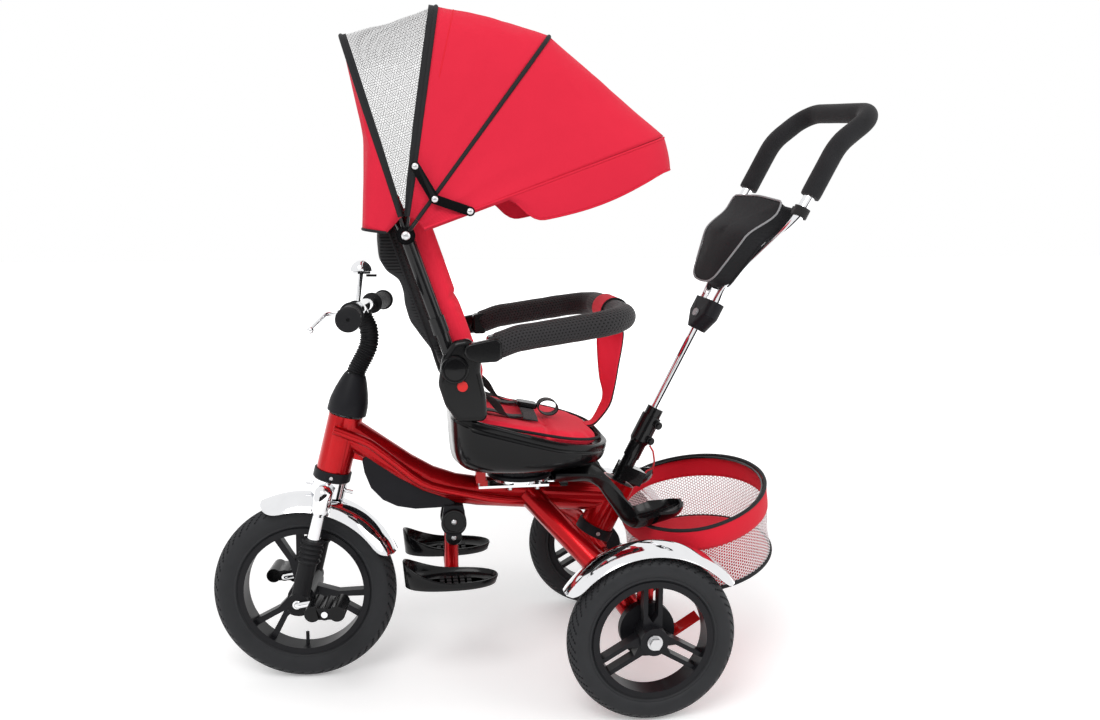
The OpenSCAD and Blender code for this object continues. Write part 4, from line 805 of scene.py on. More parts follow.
def turnGrips():
    knee, end = Vector((18.5, 62, 485)), Vector((4, 212, 488))
    along = (end - knee).normalized()
    start = end - along * 94
    for sideName, sign in bothSides:
        path, radii, run = [], [], 0.0
        while run <= 96:
            point = start + along * run
            path.append(Vector((point.x, point.y * sign, point.z)))
            if run < 5 or run > 91:
                fromEdge = min(abs(run), abs(run - 5)) if run < 5 else min(abs(run - 91), abs(run - 96))
                radii.append(gripWork["flange"] - 0.9 * (1 - min(1, fromEdge / 1.0)) ** 2)
            else:
                inRib = (run - 5) % gripWork["pitch"]
                radii.append(gripWork["groove"] if inRib < 1.4 else gripWork["rib"])
            run += 0.5
        shape = sweep(path, radii, 30, (0, 0, 1))
        caps = [face for face in shape.faces if len(face.verts) > 4]
        capEnd = max(caps, key=lambda face: abs(face.calc_center_median().y))
        bmesh.ops.inset_region(shape, faces=[capEnd], thickness=2.2, depth=0.9)
        bmesh.ops.inset_region(shape, faces=[capEnd], thickness=12.6, depth=0.3)
        bmesh.ops.inset_region(shape, faces=[capEnd], thickness=0.5, depth=-3.0)
        keep(sideName + "Grip", shape, "rubber", "fork", "black_rubber", ["grips"], forkSpace, 40)


turnHose()
turnGrips()
print("handlebar covers turned")


# push handle: chromed legs, riser and foam; its joint is the dressed CAD part
legPitch, handleHalf, jointLow, jointHigh = 22, 100, 400, 455
legPoints = [(0, legPitch, jointLow + 34), (0, legPitch, jointHigh + 24), (-17, handleHalf, 622),
             (-20, handleHalf, 671),
             (-22, handleHalf, 766), (-60, handleHalf, 842)]


def bendHandle():
    corners = mirrored([Vector(point) for point in legPoints])
    tube = roundPath(corners, [70, 90, 400, 90, 38, 38, 90, 400, 90, 70], 14)
    keep("handleLegs", sweep(tube, 9.5, 28, (1, 0, 0)), "chrome", "push_handle", "chrome", ["handle_tubes"],
         handleSpace, 60)
    keep("handleRiser", sweep([Vector((0, 0, height)) for height in (170, 300, 447)], 9.5, 28, (1, 0, 0)), "chrome",
         "push_handle", "chrome", (), handleSpace, 60)
    corners = mirrored([Vector(point) for point in legPoints[3:]])
    grip = evenPath(roundPath(corners, [90, 38, 38, 90], 14), 4)
    radii = []
    for index, point in enumerate(grip):
        fromEnd = min(index, len(grip) - 1 - index)
        ending = 0.9 if fromEnd == 0 else 0.25 if fromEnd == 1 else 0
        radii.append(16.4 - ending + 0.25 * noise.noise(point * 0.035))
    keep("handleGrip", sweep(grip, radii, 32, (1, 0, 0)), "foam", "push_handle", "black_foam", ["handle_foam"],
         handleSpace, 60)


bendHandle()
print("push handle bent")


# canopy: hoops fanned about one axis, cloth stretched over them
canopy = {"halfWidth": 158, "pivotHalf": 150, "nest": 7, "square": 2 / 7, "start": 28, "edge": 0.35}
# each hoop's angle forward of upright, its reach and its place in the nest
hoops = {"rear": (-17, 300, 0), "roof": (8.7, 336, 0), "middle": (36.6, 366, 1), "front": (69.5, 424, 2)}


def hoopPoint(u, angle, reach, order, grow=3.0):
    # a point of the cloth over a hoop; u runs 0 to 1 from one pivot over the roof to the other
    turn = -90 + 180 * u
    top = canopy["halfWidth"] + order * canopy["nest"] + grow
    low = canopy["pivotHalf"] + order * canopy["nest"] + grow
    reach, start = reach + grow, canopy["start"]
    height = start + (reach - start) * max(0.0, cos(radians(turn))) ** canopy["square"]
    half = (low + (top - low) * height / reach) * copysign(abs(sin(radians(turn))) ** canopy["square"],
                                                           sin(radians(turn)))
    return canopyAxis + Vector((-height * sin(radians(angle)), half, height * cos(radians(angle))))


def hoopShare(u):  # closer points where the hoop turns its corners
    return 0.5 - 0.5 * copysign(abs(cos(pi * u)) ** 0.72, cos(pi * u)) if 0 < u < 1 else u


def canopyBlend(piece, fromHoop, toHoop):
    # the piece's placing is baked into its mesh; each point's share of the angle between the two hoops about the
    # pivot is worked out and not kept
    pivot, fromAngle, toAngle = frameSpace @ canopyAxis, hoops[fromHoop][0], hoops[toHoop][0]
    ray = [pivot + 0.3 * Vector((-sin(radians(angle)), 0, cos(radians(angle)))) for angle in (fromAngle, toAngle)]
    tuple(ray[0])
    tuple(ray[1])
    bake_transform(piece)
    for vert in piece.data.vertices:
        away = vert.co - pivot
        angle = atan2(-away.x, away.z) * 180 / pi
        share = min(1.0, max(0.0, (angle - fromAngle) / (toAngle - fromAngle)))
        share * share * (3 - 2 * share)


panelPlaces = {}


def stretchPanel(name, first, second, finish, sag, thickness, rows=18):
    def place(u, v):
        share = hoopShare(u)
        start = hoopPoint(share, first[0] + canopy["edge"], *first[1:])
        end = hoopPoint(share, second[0] - canopy["edge"], *second[1:])
        point = start.lerp(end, v)
        away = point - canopyAxis
        outward = Vector((away.x, away.y * 1.6, away.z)).normalized()
        reach = min(1.0, away.length / 260)
        wave = noise.noise(Vector((share * 9, v * 3, sum(first)))) * 3.0
        wave += noise.noise(Vector((share * 30, v * 5, 3))) * 1.3
        nearPivot = max(0.0, 1 - away.length / 210)
        wave += 3.5 * nearPivot * sin(v * 7 + 9 * share) + 1.2 * sin(v * 16 + share * 30) * max(0.0, v - 0.6) * 1.6
        pull = sin(pi * v)
        return point - outward * pull * (sag * reach - wave * reach)

    shape = spread(72, rows, 0 if finish == "windowNet" else 0.95, 0.2, place)
    panelPlaces[name] = place
    return thicken(keep(name, shape, finish, None, "red_cloth", (), frameSpace, 80), thickness, 0)


def pipeHoop(name, hoop, radius, body, finish="piping", lift=0.0):
    points = thinned([hoopPoint(hoopShare(step / 110), *hoops[hoop], grow=3 + lift) for step in range(111)], 1.5)
    angle = radians(hoops[hoop][0])
    shape = sweep(points, radius, 12, (cos(angle), 0, sin(angle)))
    keep(name, shape, finish, body, "black_cloth", (), frameSpace, 70)


window = stretchPanel("canopyWindow", hoops["rear"], hoops["roof"], "windowNet", 2, 0.0006)
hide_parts("canopy_rear")
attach(window, "backrest")
top = stretchPanel("canopyTop", hoops["roof"], hoops["middle"], "canopyCloth", -3.5, 0.0012, rows=24)
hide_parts("canopy_top")
canopyBlend(top, "roof", "middle")
front = stretchPanel("canopyFront", hoops["middle"], hoops["front"], "canopyCloth", 1.0, 0.0012, rows=28)
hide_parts("canopy_front")
canopyBlend(front, "middle", "front")


def stitchSeam(name, panel, way, low, high):  # a raised seam; way: its share of the way over the panel
    points = []
    for step in range(91):
        point = panelPlaces[panel](low + (high - low) * step / 90, way)
        points.append(point + (point - canopyAxis).normalized() * 0.5)
    return keep(name, sweep(points, 0.9, 8, (1, 0, 0)), "bandCloth", None, "red_cloth", (), frameSpace, 80)


canopyBlend(stitchSeam("roofSeam", "canopyTop", 0.14, 0.2, 0.8), "roof", "middle")


def hangVisor():
    # the skirt past the front bow: nothing at the pivots, full depth from half way up the sides
    bow = hoops["front"]

    def depth(share):
        side = abs(share * 2 - 1)
        reach = (hoopPoint(share, *bow) - canopyAxis).length
        grown = min(1.0, max(0.0, (reach - 240) / 30))
        return 3 + 41 * (1 - (1 - grown) ** 3) + 6 * (1 - side) + 13 * sin(pi * min(1, max(0, (reach - 240) / 190)))

    def place(u, v):
        share = hoopShare(u)
        point = hoopPoint(share, *bow)
        onward = Vector((-cos(radians(bow[0])), 0, -sin(radians(bow[0]))))
        inward = (canopyAxis - point).normalized()
        fall = depth(share) * v
        curl = 11 * v * v
        wave = noise.noise(Vector((share * 14, v, 7))) * 1.6 * v
        flat = abs(point.y) / 172
        return point + onward * fall + inward * (curl * (1 - 0.6 * flat) - wave)

    shape = spread(96, 14, 1.05, 0.065, place)
    skirt = thicken(keep("canopyVisor", shape, "canopyCloth", "canopy_end", "red_cloth", ["canopy_visor"],
                         frameSpace, 80), 0.0016, 0)
    hem = thinned([place(step / 150, 1) for step in range(151)], 1.6)
    keep("visorHem", sweep(hem, 1.5, 10, (0, 0.3, 1)), "canopyCloth", "canopy_end", "red_cloth", (), frameSpace, 70)
    return skirt


visor = hangVisor()
pipeHoop("visorSeam", "front", 1.7, "canopy_end", "canopyCloth", 0.2)
pipeHoop("frontBow", "front", 3.0, "canopy_end", "blackMetal", -4.0)
pipeHoop("middlePiping", "middle", 3.3, "canopy_middle")
pipeHoop("roofPiping", "roof", 3.4, "backrest")
pipeHoop("rearPiping", "rear", 3.4, "backrest")


def borderBand(name, hoop, toward, width):
    # a black tape beside a hoop, on the net
    def place(u, v):
        share = hoopShare(u)
        point = hoopPoint(share, *hoops[hoop], grow=3.6)
        away = point - canopyAxis
        turn = atan2(width * v * toward * min(1.0, 0.25 + away.length / 300), max(40.0, hypot(away.x, away.z)))
        return canopyAxis + Vector((away.x * cos(turn) - away.z * sin(turn), away.y,
                                    away.z * cos(turn) + away.x * sin(turn)))

    shape = spread(80, 3, 0.9, width / 1000, place)
    return thicken(keep(name, shape, "piping", "backrest", "black_cloth", (), frameSpace, 80), 0.0012, 0)


borderBand("roofTape", "roof", -1, 11)
borderBand("rearTape", "rear", 1, 8)


def hangFlap():
    # the cloth behind the head, down from the rear hoop
    def place(u, v):
        share = hoopShare(u)
        upper = hoopPoint(share, *hoops["rear"])
        middle = hoopPoint(share, -24, 152, 0)
        lower = hoopPoint(share, -82, 62, 0)
        if v < 0.55:
            point = upper.lerp(middle, v / 0.55)
        else:
            point = middle.lerp(lower, (v - 0.55) / 0.45)
        wave = noise.noise(Vector((share * 8, v * 4, 11))) * 3.0 * sin(pi * min(1, v * 1.1))
        return point + Vector((wave - 4 * sin(pi * v), 0, 0))

    shape = spread(60, 26, 0.8, 0.3, place)
    bmesh.ops.smooth_vert(shape, verts=[vert for vert in shape.verts if not vert.is_boundary], factor=0.5,
                          use_axis_x=True, use_axis_y=True, use_axis_z=True)
    hem = thinned([place(step / 60, 1) for step in range(61)], 2)
    thicken(keep("canopyFlap", shape, "canopyCloth", "backrest", "red_cloth", (), frameSpace, 80), 0.0014, 0)
    keep("flapPiping", sweep(hem, 2.2, 10, (0, 0.2, 1)), "piping", "backrest", "black_cloth", (), frameSpace, 70)


hangFlap()
print("canopy hung")


def setRivet(name, spot, body, radius=5.0, height=2.6):
    # a domed snap rivet, its dome pointing along Y
    for sideName, sign in sidePairs:
        shape = bmesh.new()
        bmesh.ops.create_uvsphere(shape, u_segments=20, v_segments=10, radius=1.0)
        bmesh.ops.bisect_plane(shape, geom=shape.verts[:] + shape.edges[:] + shape.faces[:], plane_co=(0, 0, 0),
                               plane_no=(0, -sign, 0), clear_outer=True)
        bmesh.ops.holes_fill(shape, edges=[edge for edge in shape.edges if edge.is_boundary])
        bmesh.ops.recalc_face_normals(shape, faces=shape.faces)
        seat = frameSpace @ Matrix.Translation((spot.x, spot.y * sign, spot.z))
        space = seat @ Matrix.Diagonal((radius, height, radius, 1))
        keep(name + sideName, shape, "steel", body, "steel", (), space, 50)


braceY = 150 + 14 + 3 + 4
braceOuter = {"roof": braceY + 2 + 0.3 + 2, "front": braceY + 2}


def rayPoint(angle, reach, y):
    return canopyAxis + Vector((-reach * sin(radians(angle)), y, reach * cos(radians(angle))))


roofAngle, frontAngle = hoops["roof"][0], hoops["front"][0]
kneeAngle, halfFan = (frontAngle + roofAngle) / 2, (frontAngle - roofAngle) / 2
braceArm, braceLength = 100, 54
kneeReach = braceArm * cos(radians(halfFan)) - sqrt(braceLength ** 2 - (braceArm * sin(radians(halfFan))) ** 2)
setRivet("roofRivet", rayPoint(roofAngle, braceArm, braceOuter["roof"] - 0.4), "backrest")
setRivet("frontRivet", rayPoint(frontAngle, braceArm, braceOuter["front"] - 0.4), "canopy_end")
setRivet("kneeRivet", rayPoint(kneeAngle, kneeReach, braceOuter["roof"] + 1.0), "rear_braces")
setRivet("pivotRivet", rayPoint(0, 0, 170), "backrest", 6.5, 3.0)
print("rivets set")


# padded pieces
def slabShape(outline, low, high):  # a closed block from a list of corners
    shape = bmesh.new()
    verts = [shape.verts.new((x, y, low)) for x, y in outline]
    face = shape.faces.new(verts)
    raised = bmesh.ops.extrude_face_region(shape, geom=[face])["geom"]
    lid = [item for item in raised if isinstance(item, bmesh.types.BMVert)]
    bmesh.ops.translate(shape, vec=(0, 0, high - low), verts=lid)
    bmesh.ops.recalc_face_normals(shape, faces=shape.faces)
    return shape


def roundOutline(corners, steps=10):  # corners: x, y, radius, walked anticlockwise
    points = []
    count = len(corners)
    for index, (x, y, radius) in enumerate(corners):
        before, after = corners[index - 1], corners[(index + 1) % count]
        here = Vector((x, y, 0))
        bend = roundPath([Vector((before[0], before[1], 0)), here, Vector((after[0], after[1], 0))], radius,
                         steps)[1:-1]
        points += [(point.x, point.y) for point in bend]
    return points


def inflate(name, shape, finish, body, stands, space, voxel, pressure, cap, channels=()):
    # remesh, swell as cloth for 20 frames with the movement capped, press the sewn channels in
    bmesh.ops.transform(shape, matrix=space, verts=shape.verts)
    mesh = bpy.data.meshes.new(name)
    shape.to_mesh(mesh)
    shape.free()
    pad = bpy.data.objects.new(name, mesh)
    scene.collection.objects.link(pad)
    even = pad.modifiers.new("even", "REMESH")
    even.mode, even.voxel_size = "VOXEL", voxel
    settle = pad.modifiers.new("settle", "SMOOTH")
    settle.factor, settle.iterations = 0.5, 6
    bake(pad)
    rest = [vert.co.copy() for vert in pad.data.vertices]
    cloth = pad.modifiers.new("cloth", "CLOTH")
    cloth.settings.use_pressure, cloth.settings.uniform_pressure_force = True, pressure
    cloth.settings.effector_weights.gravity = 0
    cloth.settings.quality = 5
    cloth.point_cache.frame_start, cloth.point_cache.frame_end = 1, 20
    for step in range(1, 21):
        scene.frame_set(step)
    bake(pad)
    scene.frame_set(1)
    for vert, start in zip(pad.data.vertices, rest):
        moved = vert.co - start
        if moved.length > cap:
            vert.co = start + moved * (cap / moved.length)
    inverse = space.inverted()
    for vert in pad.data.vertices:
        local = inverse @ vert.co
        sink = Vector()
        for channel in channels:
            sink += channel(local)
        if sink.length > 0:
            vert.co = space @ (local + sink)
    refine(pad, 1)
    bake(pad)
    pad.data.shade_smooth()
    pad.data.materials.append(finishes[finish])
    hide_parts(*stands)
    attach(pad, body)
    return pad


def bake(pad):  # every modifier applied to the mesh
    solid = pad.evaluated_get(bpy.context.evaluated_depsgraph_get())
    mesh = bpy.data.meshes.new_from_object(solid)
    pad.modifiers.clear()
    pad.data = mesh


def groove(distance, depth, width, direction):  # a sewn channel: how far to sink at this distance from its line
    return direction * depth * max(0.0, 1 - (distance / width) ** 2) ** 2 if abs(distance) < width else Vector()


cushion = {"inset": 14, "seatWidth": 292, "length": 268, "seam": 112, "piping": 2.4}


def seatOutline(inset):
    half = cushion["seatWidth"] / 2
    front, back = 112 - inset, 54 - inset
    points = []
    for centre, radius, start in (((112, -(half - 112)), front, 180),
                                  ((cushion["length"] - 60, -(half - 54)), back, 270),
                                  ((cushion["length"] - 60, half - 54), back, 0), ((112, half - 112), front, 90)):
        points += [(centre[0] + radius * cos(radians(start + step * 9)),
                    centre[1] + radius * sin(radians(start + step * 9)))
                   for step in range(11)]
    return points


def sewSeat():
    down = Vector((0, 0, -1))

    def lobes(spot):
        if spot.z < 0:
            return Vector()
        return groove(spot.x - cushion["seam"], 5.0, 9, down) + groove(abs(spot.y) - 62, 3.0, 8,
                                                                       down) * (1 if spot.x > 112 else 0)

    def dish(spot):
        return down * 3.0 * max(0.0, 1 - hypot((spot.x - 185) / 70, spot.y / 70) ** 2) if spot.z > 0 else Vector()

    inflate("seatCushion", slabShape(seatOutline(cushion["inset"] + 2), -9, 8), "cushionCloth", "seat",
            ["seat_cushion"], seatSpace, 0.005, 3, 0.005, [lobes, dish])
    edge = [Vector((x, y, 7.5)) for x, y in seatOutline(cushion["inset"] + 0.5)]
    keep("seatPiping", sweep(evenPath(edge + [edge[0]], 5)[:-1], cushion["piping"], 10, (0, 0, 1), closed=True),
         "piping", "seat",
         "black_cloth", (), seatSpace, 70)


def sewBack():
    # the front pad, its sides sewn to a piped edge
    outline = roundOutline([(-54, -114, 46), (252, -114, 46), (252, 114, 46), (-54, 114, 46)])
    turned = backSpace @ Matrix.Translation((-7.3 - 34, 0, 0)) @ swapXZ
    inward = Vector((0, 0, 1))

    def lobes(spot):  # here Z points from the child towards the frame
        if spot.z > 14:
            return Vector()
        return groove(spot.x - 96, 6.0, 10, inward) + groove(abs(spot.y) - 70, 5.0, 10,
                                                             inward) * (1 if spot.x > -20 else 0)

    inflate("backPad", slabShape(outline, 5, 34), "cushionCloth", "backrest",
            ["back_pad"], turned, 0.005, 3, 0.006, [lobes])
    edge = [Vector((x, y, 33)) for x, y in roundOutline([(-58, -117, 48), (255, -117, 48), (255, 117, 48),
                                                         (-58, 117, 48)])]
    keep("backPiping", sweep(evenPath(edge + [edge[0]], 6)[:-1], 2.4, 10, (0, 0, 1), closed=True), "piping",
         "backrest",
         "black_cloth", (), turned, 70)
    behind = backSpace @ Matrix.Translation((7.3, 0, 0)) @ swapXZ
    outline = roundOutline([(-26, -108, 44), (252, -108, 44), (252, 108, 44), (-26, 108, 44)])
    cover = slabShape(outline, 2, 3)
    # the loose cover's depth up the back: height, depth
    depths = [(-26, 5), (20, 8), (52, 18), (84, 27), (112, 25), (130, 20), (150, 20), (168, 34), (190, 38),
              (222, 30), (252, 16)]
    for height in [pair[0] for pair in depths[1:-1]]:
        bmesh.ops.bisect_plane(cover, geom=cover.verts[:] + cover.edges[:] + cover.faces[:],
                               plane_co=(height, 0, 0), plane_no=(1, 0, 0))
    for vert in cover.verts:
        if vert.co.z > 2.5:
            for (low, nearDepth), (high, farDepth) in zip(depths, depths[1:]):
                if low - 0.01 <= vert.co.x <= high + 0.01:
                    vert.co.z = 2 + nearDepth + (farDepth - nearDepth) * (vert.co.x - low) / (high - low)
                    break
    inflate("backCover", cover, "coverMesh", "backrest", ["back_cover"], behind,
            0.005, 3, 0.004)
    edge = [Vector((x, y, 15)) for x, y in roundOutline([(-28, -111, 46), (254, -111, 46), (254, 111, 46),
                                                         (-28, 111, 46)])]
    keep("coverPiping", sweep(evenPath(edge + [edge[0]], 6)[:-1], 2.2, 10, (0, 0, 1), closed=True), "piping",
         "backrest",
         "black_cloth", (), behind, 70)


sewSeat()
sewBack()
print("seat and back sewn")


def sleeveBar():
    # foam sleeves with mesh covers round the safety bar
    corner = [Vector((236, 160, 581)), Vector((200, 160, 594)), Vector((24, 160, 620))]
    start = corner[1] + (corner[0] - corner[1]).normalized() * 37
    line = mirrored([start, corner[1], corner[2]])
    path = evenPath(roundPath(line, [60, 62, 62, 60], 14), 4)
    radii = []
    last = len(path) - 1
    for index, point in enumerate(path):
        fromEnd = min(index, last - index)
        ending = (1 - (1 - min(1, (fromEnd * 4 + 0.6) / 9)) ** 2) ** 0.5
        radii.append(8.6 + (20.2 - 8.6) * ending + 0.5 * noise.noise(point * 0.05))
    pads = keep("barPads", sweep(path, radii, 36, (0, 0, 1)), "airMesh", "bumper_bar", "black_cloth", ["bar_pads"],
                frameSpace, 75)


sleeveBar()


def ribbon(name, stations, finish, body, slot, thickness, stands=(), pipingRadius=0.0, subdivisions=5):
    # stations: middle point, half-width vector; a flat strap through them, piped along both edges if asked
    count = len(stations)

    def at(v):
        spot = min(count - 1.0001, v * (count - 1))
        index = int(spot)
        share = spot - index
        near = (max(0, min(count - 1, step)) for step in range(index - 1, index + 3))
        before, first, second, after = (stations[step] for step in near)
        out = []
        for part in (0, 1):
            a, b, c, d = (Vector(item[part]) for item in (before, first, second, after))
            curve = 2 * b + (c - a) * share + (2 * a - 5 * b + 4 * c - d) * share ** 2
            out.append(0.5 * (curve + (3 * b - a - 3 * c + d) * share ** 3))
        return out

    def place(u, v):
        middle, half = at(v)
        return middle + half * (u * 2 - 1)

    length = sum((Vector(second[0]) - Vector(first[0])).length for first, second in zip(stations, stations[1:]))
    width = max(Vector(item[1]).length for item in stations) * 2
    shape = spread(8, (count - 1) * subdivisions, width / 1000, length / 1000, place)
    strap = keep(name, shape, finish, body, slot, stands, frameSpace, 80)
    thicken(strap, thickness, 0)
    if pipingRadius:
        for sideName, u in (("Near", 0), ("Far", 1)):
            line = [place(u, step / ((count - 1) * subdivisions)) for step in range((count - 1) * subdivisions + 1)]
            keep(name + sideName + "Piping", sweep(evenPath(line, 3), pipingRadius, 8, (0.3, 1, 0.2)), "piping",
                 body, "black_cloth",
                 (), frameSpace, 70)
    return strap


def hangCrotchStrap():
    # round the bar's pad, then twisted down to the front of the cushion
    loop = []
    for angle in range(0, 361, 15):
        loop.append(((24 + 22.4 * sin(radians(angle)), 6, 620 + 22.4 * cos(radians(angle))), (0, 38, 0)))
    ribbon("strapLoop", loop, "cushionCloth", "bumper_bar", "red_cloth", 0.0026, ["crotch_strap"], 1.5, 2)
    fall = [((24, 8, 597), (8, -26, 0)), ((23, 8, 585), (17, -20, 0)), ((24, 8, 566), (18.5, -15, 0)),
            ((25, 8, 548), (17, -14, 0)),
            ((26, 7, 524), (14, -14, 0)), ((26, 5, 500), (11, -13, 0)), ((25, 3, 478), (6.5, -12, 0)),
            ((27, 1, 462), (5, -12, 0)),
            ((33, 0, 449), (4.5, -12, 0)), ((42, 0, 435), (2, -13, 0)), ((52, 0, 424), (0, -14, 0)),
            ((66, 0, 421), (0, -14, 0))]
    ribbon("crotchStrap", fall, "cushionCloth", "bumper_bar", "red_cloth", 0.004, (), 1.5)
    # clamps that hold the bar, over the lugs on the housings
    turned = frameSpace @ swapYZ
    for sideName, sign in sidePairs:
        for part, outline, near, far in (("barClamp", [(226, 562, 10), (262, 560.4, 13), (281.4, 568, 12),
                                                       (280, 588, 12), (262, 592, 12),
                                                       (226, 599, 10)], 169, 184),
                                         ("barSocket", [(222, 563, 6), (246, 563, 6), (246, 598, 6), (222, 602, 6)],
                                          144, 172)):
            low, high = (near, far) if sign > 0 else (-far, -near)
            block = keep(part + sideName, slabShape(roundOutline(outline, 8), low, high), "blackPlastic",
                         "bumper_bar",
                         "black_plastic", (), turned, 40)
            roundEdges(block, 0.0035, 4, 40)


hangCrotchStrap()


def onCushion(x, y, z=0.0):  # a spot above the cushion, in the frame's millimetres
    return frameSpace.inverted() @ (seatSpace @ Vector((x, y, 13 + z)))


def layHarness():
    half = Vector((12, 0, 2.4))
    acrossSeat = [(onCushion(140, y, 4 + 6 * (1 - (y / 78) ** 2)), half) for y in range(-78, 79, 13)]
    ribbon("lapBelt", acrossSeat, "webbing", "seat", "black_cloth", 0.0016, ["harness"])
    for sideName, sign in sidePairs:
        toBack = [(onCushion(x, 58 * sign, 4 + 2 * sin(x * 0.1)), Vector((0, 11, 0))) for x in range(152, 247, 12)]
        ribbon("backBelt" + sideName, toBack, "webbing", "seat", "black_cloth", 0.0016)
    loop = []
    for angle in range(-40, 321, 20):
        loop.append((onCushion(104 + 17 * cos(radians(angle + 270)), 4, 18 + 13 * sin(radians(angle + 270))),
                     Vector((0, 11.5, 0))))
    ribbon("beltLoop", loop, "webbing", "seat", "black_cloth", 0.0016, (), 0, 3)
    fall = [((278, 132, 528), (4, 0, 9)), ((262, 124, 512), (6, 0, 8)), ((244, 112, 500), (8, 2, 5)),
            ((230, 100, 484), (9, 2, 2)),
            ((218, 90, 466), (8, 4, 3)), ((206, 78, 456), (7, 5, 4)), ((190, 66, 452), (6, 6, 2)),
            ((176, 52, 451), (5, 8, 1))]
    ribbon("shoulderStrapLeft", fall, "webbing", "seat", "black_cloth", 0.0016)
    ribbon("shoulderStrapRight", [((middle[0], -middle[1], middle[2]), (half[0], -half[1], half[2])) for middle,
                                  half in fall],
           "webbing", "seat", "black_cloth", 0.0016)
    # buckle
    shape = slabShape(roundOutline([(-17, -15, 6), (17, -15, 6), (17, 15, 6), (-17, 15, 6)]), 0, 9)
    spot = seatSpace @ Matrix.Translation((140, 0, 24))
    roundEdges(keep("beltBuckle", shape, "blackPlastic", "seat", "black_plastic", (), spot, 40), 0.002, 3, 40)


layHarness()
print("straps laid")


# basket: rim, band, netting and floor
basket = {"mid": -113, "rise": 0.29, "rim": 262 + 0.29 * 113, "length": 268, "width": 380, "floorMid": -129,
          "floorRise": 0.2,
          "floor": 183, "floorLength": 270, "floorWidth": 344, "blunt": 0.8, "band": 36}


def basketPoint(turn, drop, inset=0.0):
    # drop runs 0 at the rim to 1 at the floor
    angle = 2 * pi * turn
    flat = basket["blunt"] if cos(angle) > 0 else 1

    def ring(mid, rise, height, length, width):
        x = (length / 2 - inset) * cos(angle) * flat
        return Vector((mid + x, (width / 2 - inset) * sin(angle), height - rise * x))

    upper = ring(basket["mid"], basket["rise"], basket["rim"], basket["length"], basket["width"])
    lower = ring(basket["floorMid"], basket["floorRise"], basket["floor"], basket["floorLength"],
                 basket["floorWidth"])
    return upper.lerp(lower, drop)


bandShare = basket["band"] / (basket["rim"] - basket["floor"])


def wallPiece(name, fromDrop, toDrop, finish, thickness, rows, bow, slotName, stands=(), inset=0.0):
    def place(u, v):
        drop = fromDrop + (toDrop - fromDrop) * v
        point = basketPoint(u, drop, inset)
        centre = Vector((basket["mid"] - 10 * drop, 0, point.z))
        outward = (point - centre).normalized()
        angle = 2 * pi * u
        wave = noise.noise(Vector((cos(angle) * 2.2, sin(angle) * 2.2, drop * 3))) * 2.4
        return point + outward * ((wave - bow) * sin(pi * v))

    shape = spread(120, rows, 1.03, 0.1 * (toDrop - fromDrop) + 0.02, place)
    bmesh.ops.remove_doubles(shape, verts=shape.verts, dist=0.01)
    bmesh.ops.recalc_face_normals(shape, faces=shape.faces)
    return thicken(keep(name, shape, finish, "frame", slotName, stands, frameSpace, 80), thickness, 0)


def hangBasket():
    wallPiece("basketBand", 0.0, bandShare, "bandCloth", 0.003, 8, -1.5, "red_cloth", ["basket_cloth"], 0.8)
    wallPiece("basketNetting", bandShare, 0.985, "basketNet", 0.0008, 14, 3.0, "white_mesh", ["basket_mesh"], 1.0)
    for name, drop, radius, finish, slotName in (("basketRimPiping", 0.0, 3.0, "piping", "black_cloth"),
                                                 ("basketBandSeam", bandShare, 1.5, "bandCloth", "red_cloth"),
                                                 ("basketFloorPiping", 1.0, 3.4, "piping", "black_cloth")):
        ring = [basketPoint(step / 120, drop, 1.0) for step in range(121)]
        keep(name, sweep(evenPath(ring, 6)[:-1], radius, 12, (0.2, 0, 1), closed=True), finish, "frame", slotName,
             (), frameSpace, 70)

    def place(u, v):
        # from the middle to the edge
        share = v ** 0.8
        point = basketPoint(u, 1.0, 3.0)
        centre = Vector((basket["floorMid"], 0, basket["floor"]))
        spot = centre.lerp(point, share)
        wave = noise.noise(Vector((spot.x * 0.02, spot.y * 0.02, 4)))
        return spot + Vector((0, 0, 1.2 + 1.6 * wave * (1 - share)))

    shape = spread(96, 16, 0.9, 0.16, place)
    bmesh.ops.remove_doubles(shape, verts=shape.verts, dist=0.01)
    bmesh.ops.recalc_face_normals(shape, faces=shape.faces)
    thicken(keep("basketFloor", shape, "bandCloth", "frame", "red_cloth", (), frameSpace, 80), 0.002, 0)


hangBasket()
print("basket hung")


# seat shell: a moulded bowl on its turntable
shellWork = {"turntable": 112, "turnX": 178, "turnHeight": 372, "spacing": 9.2}


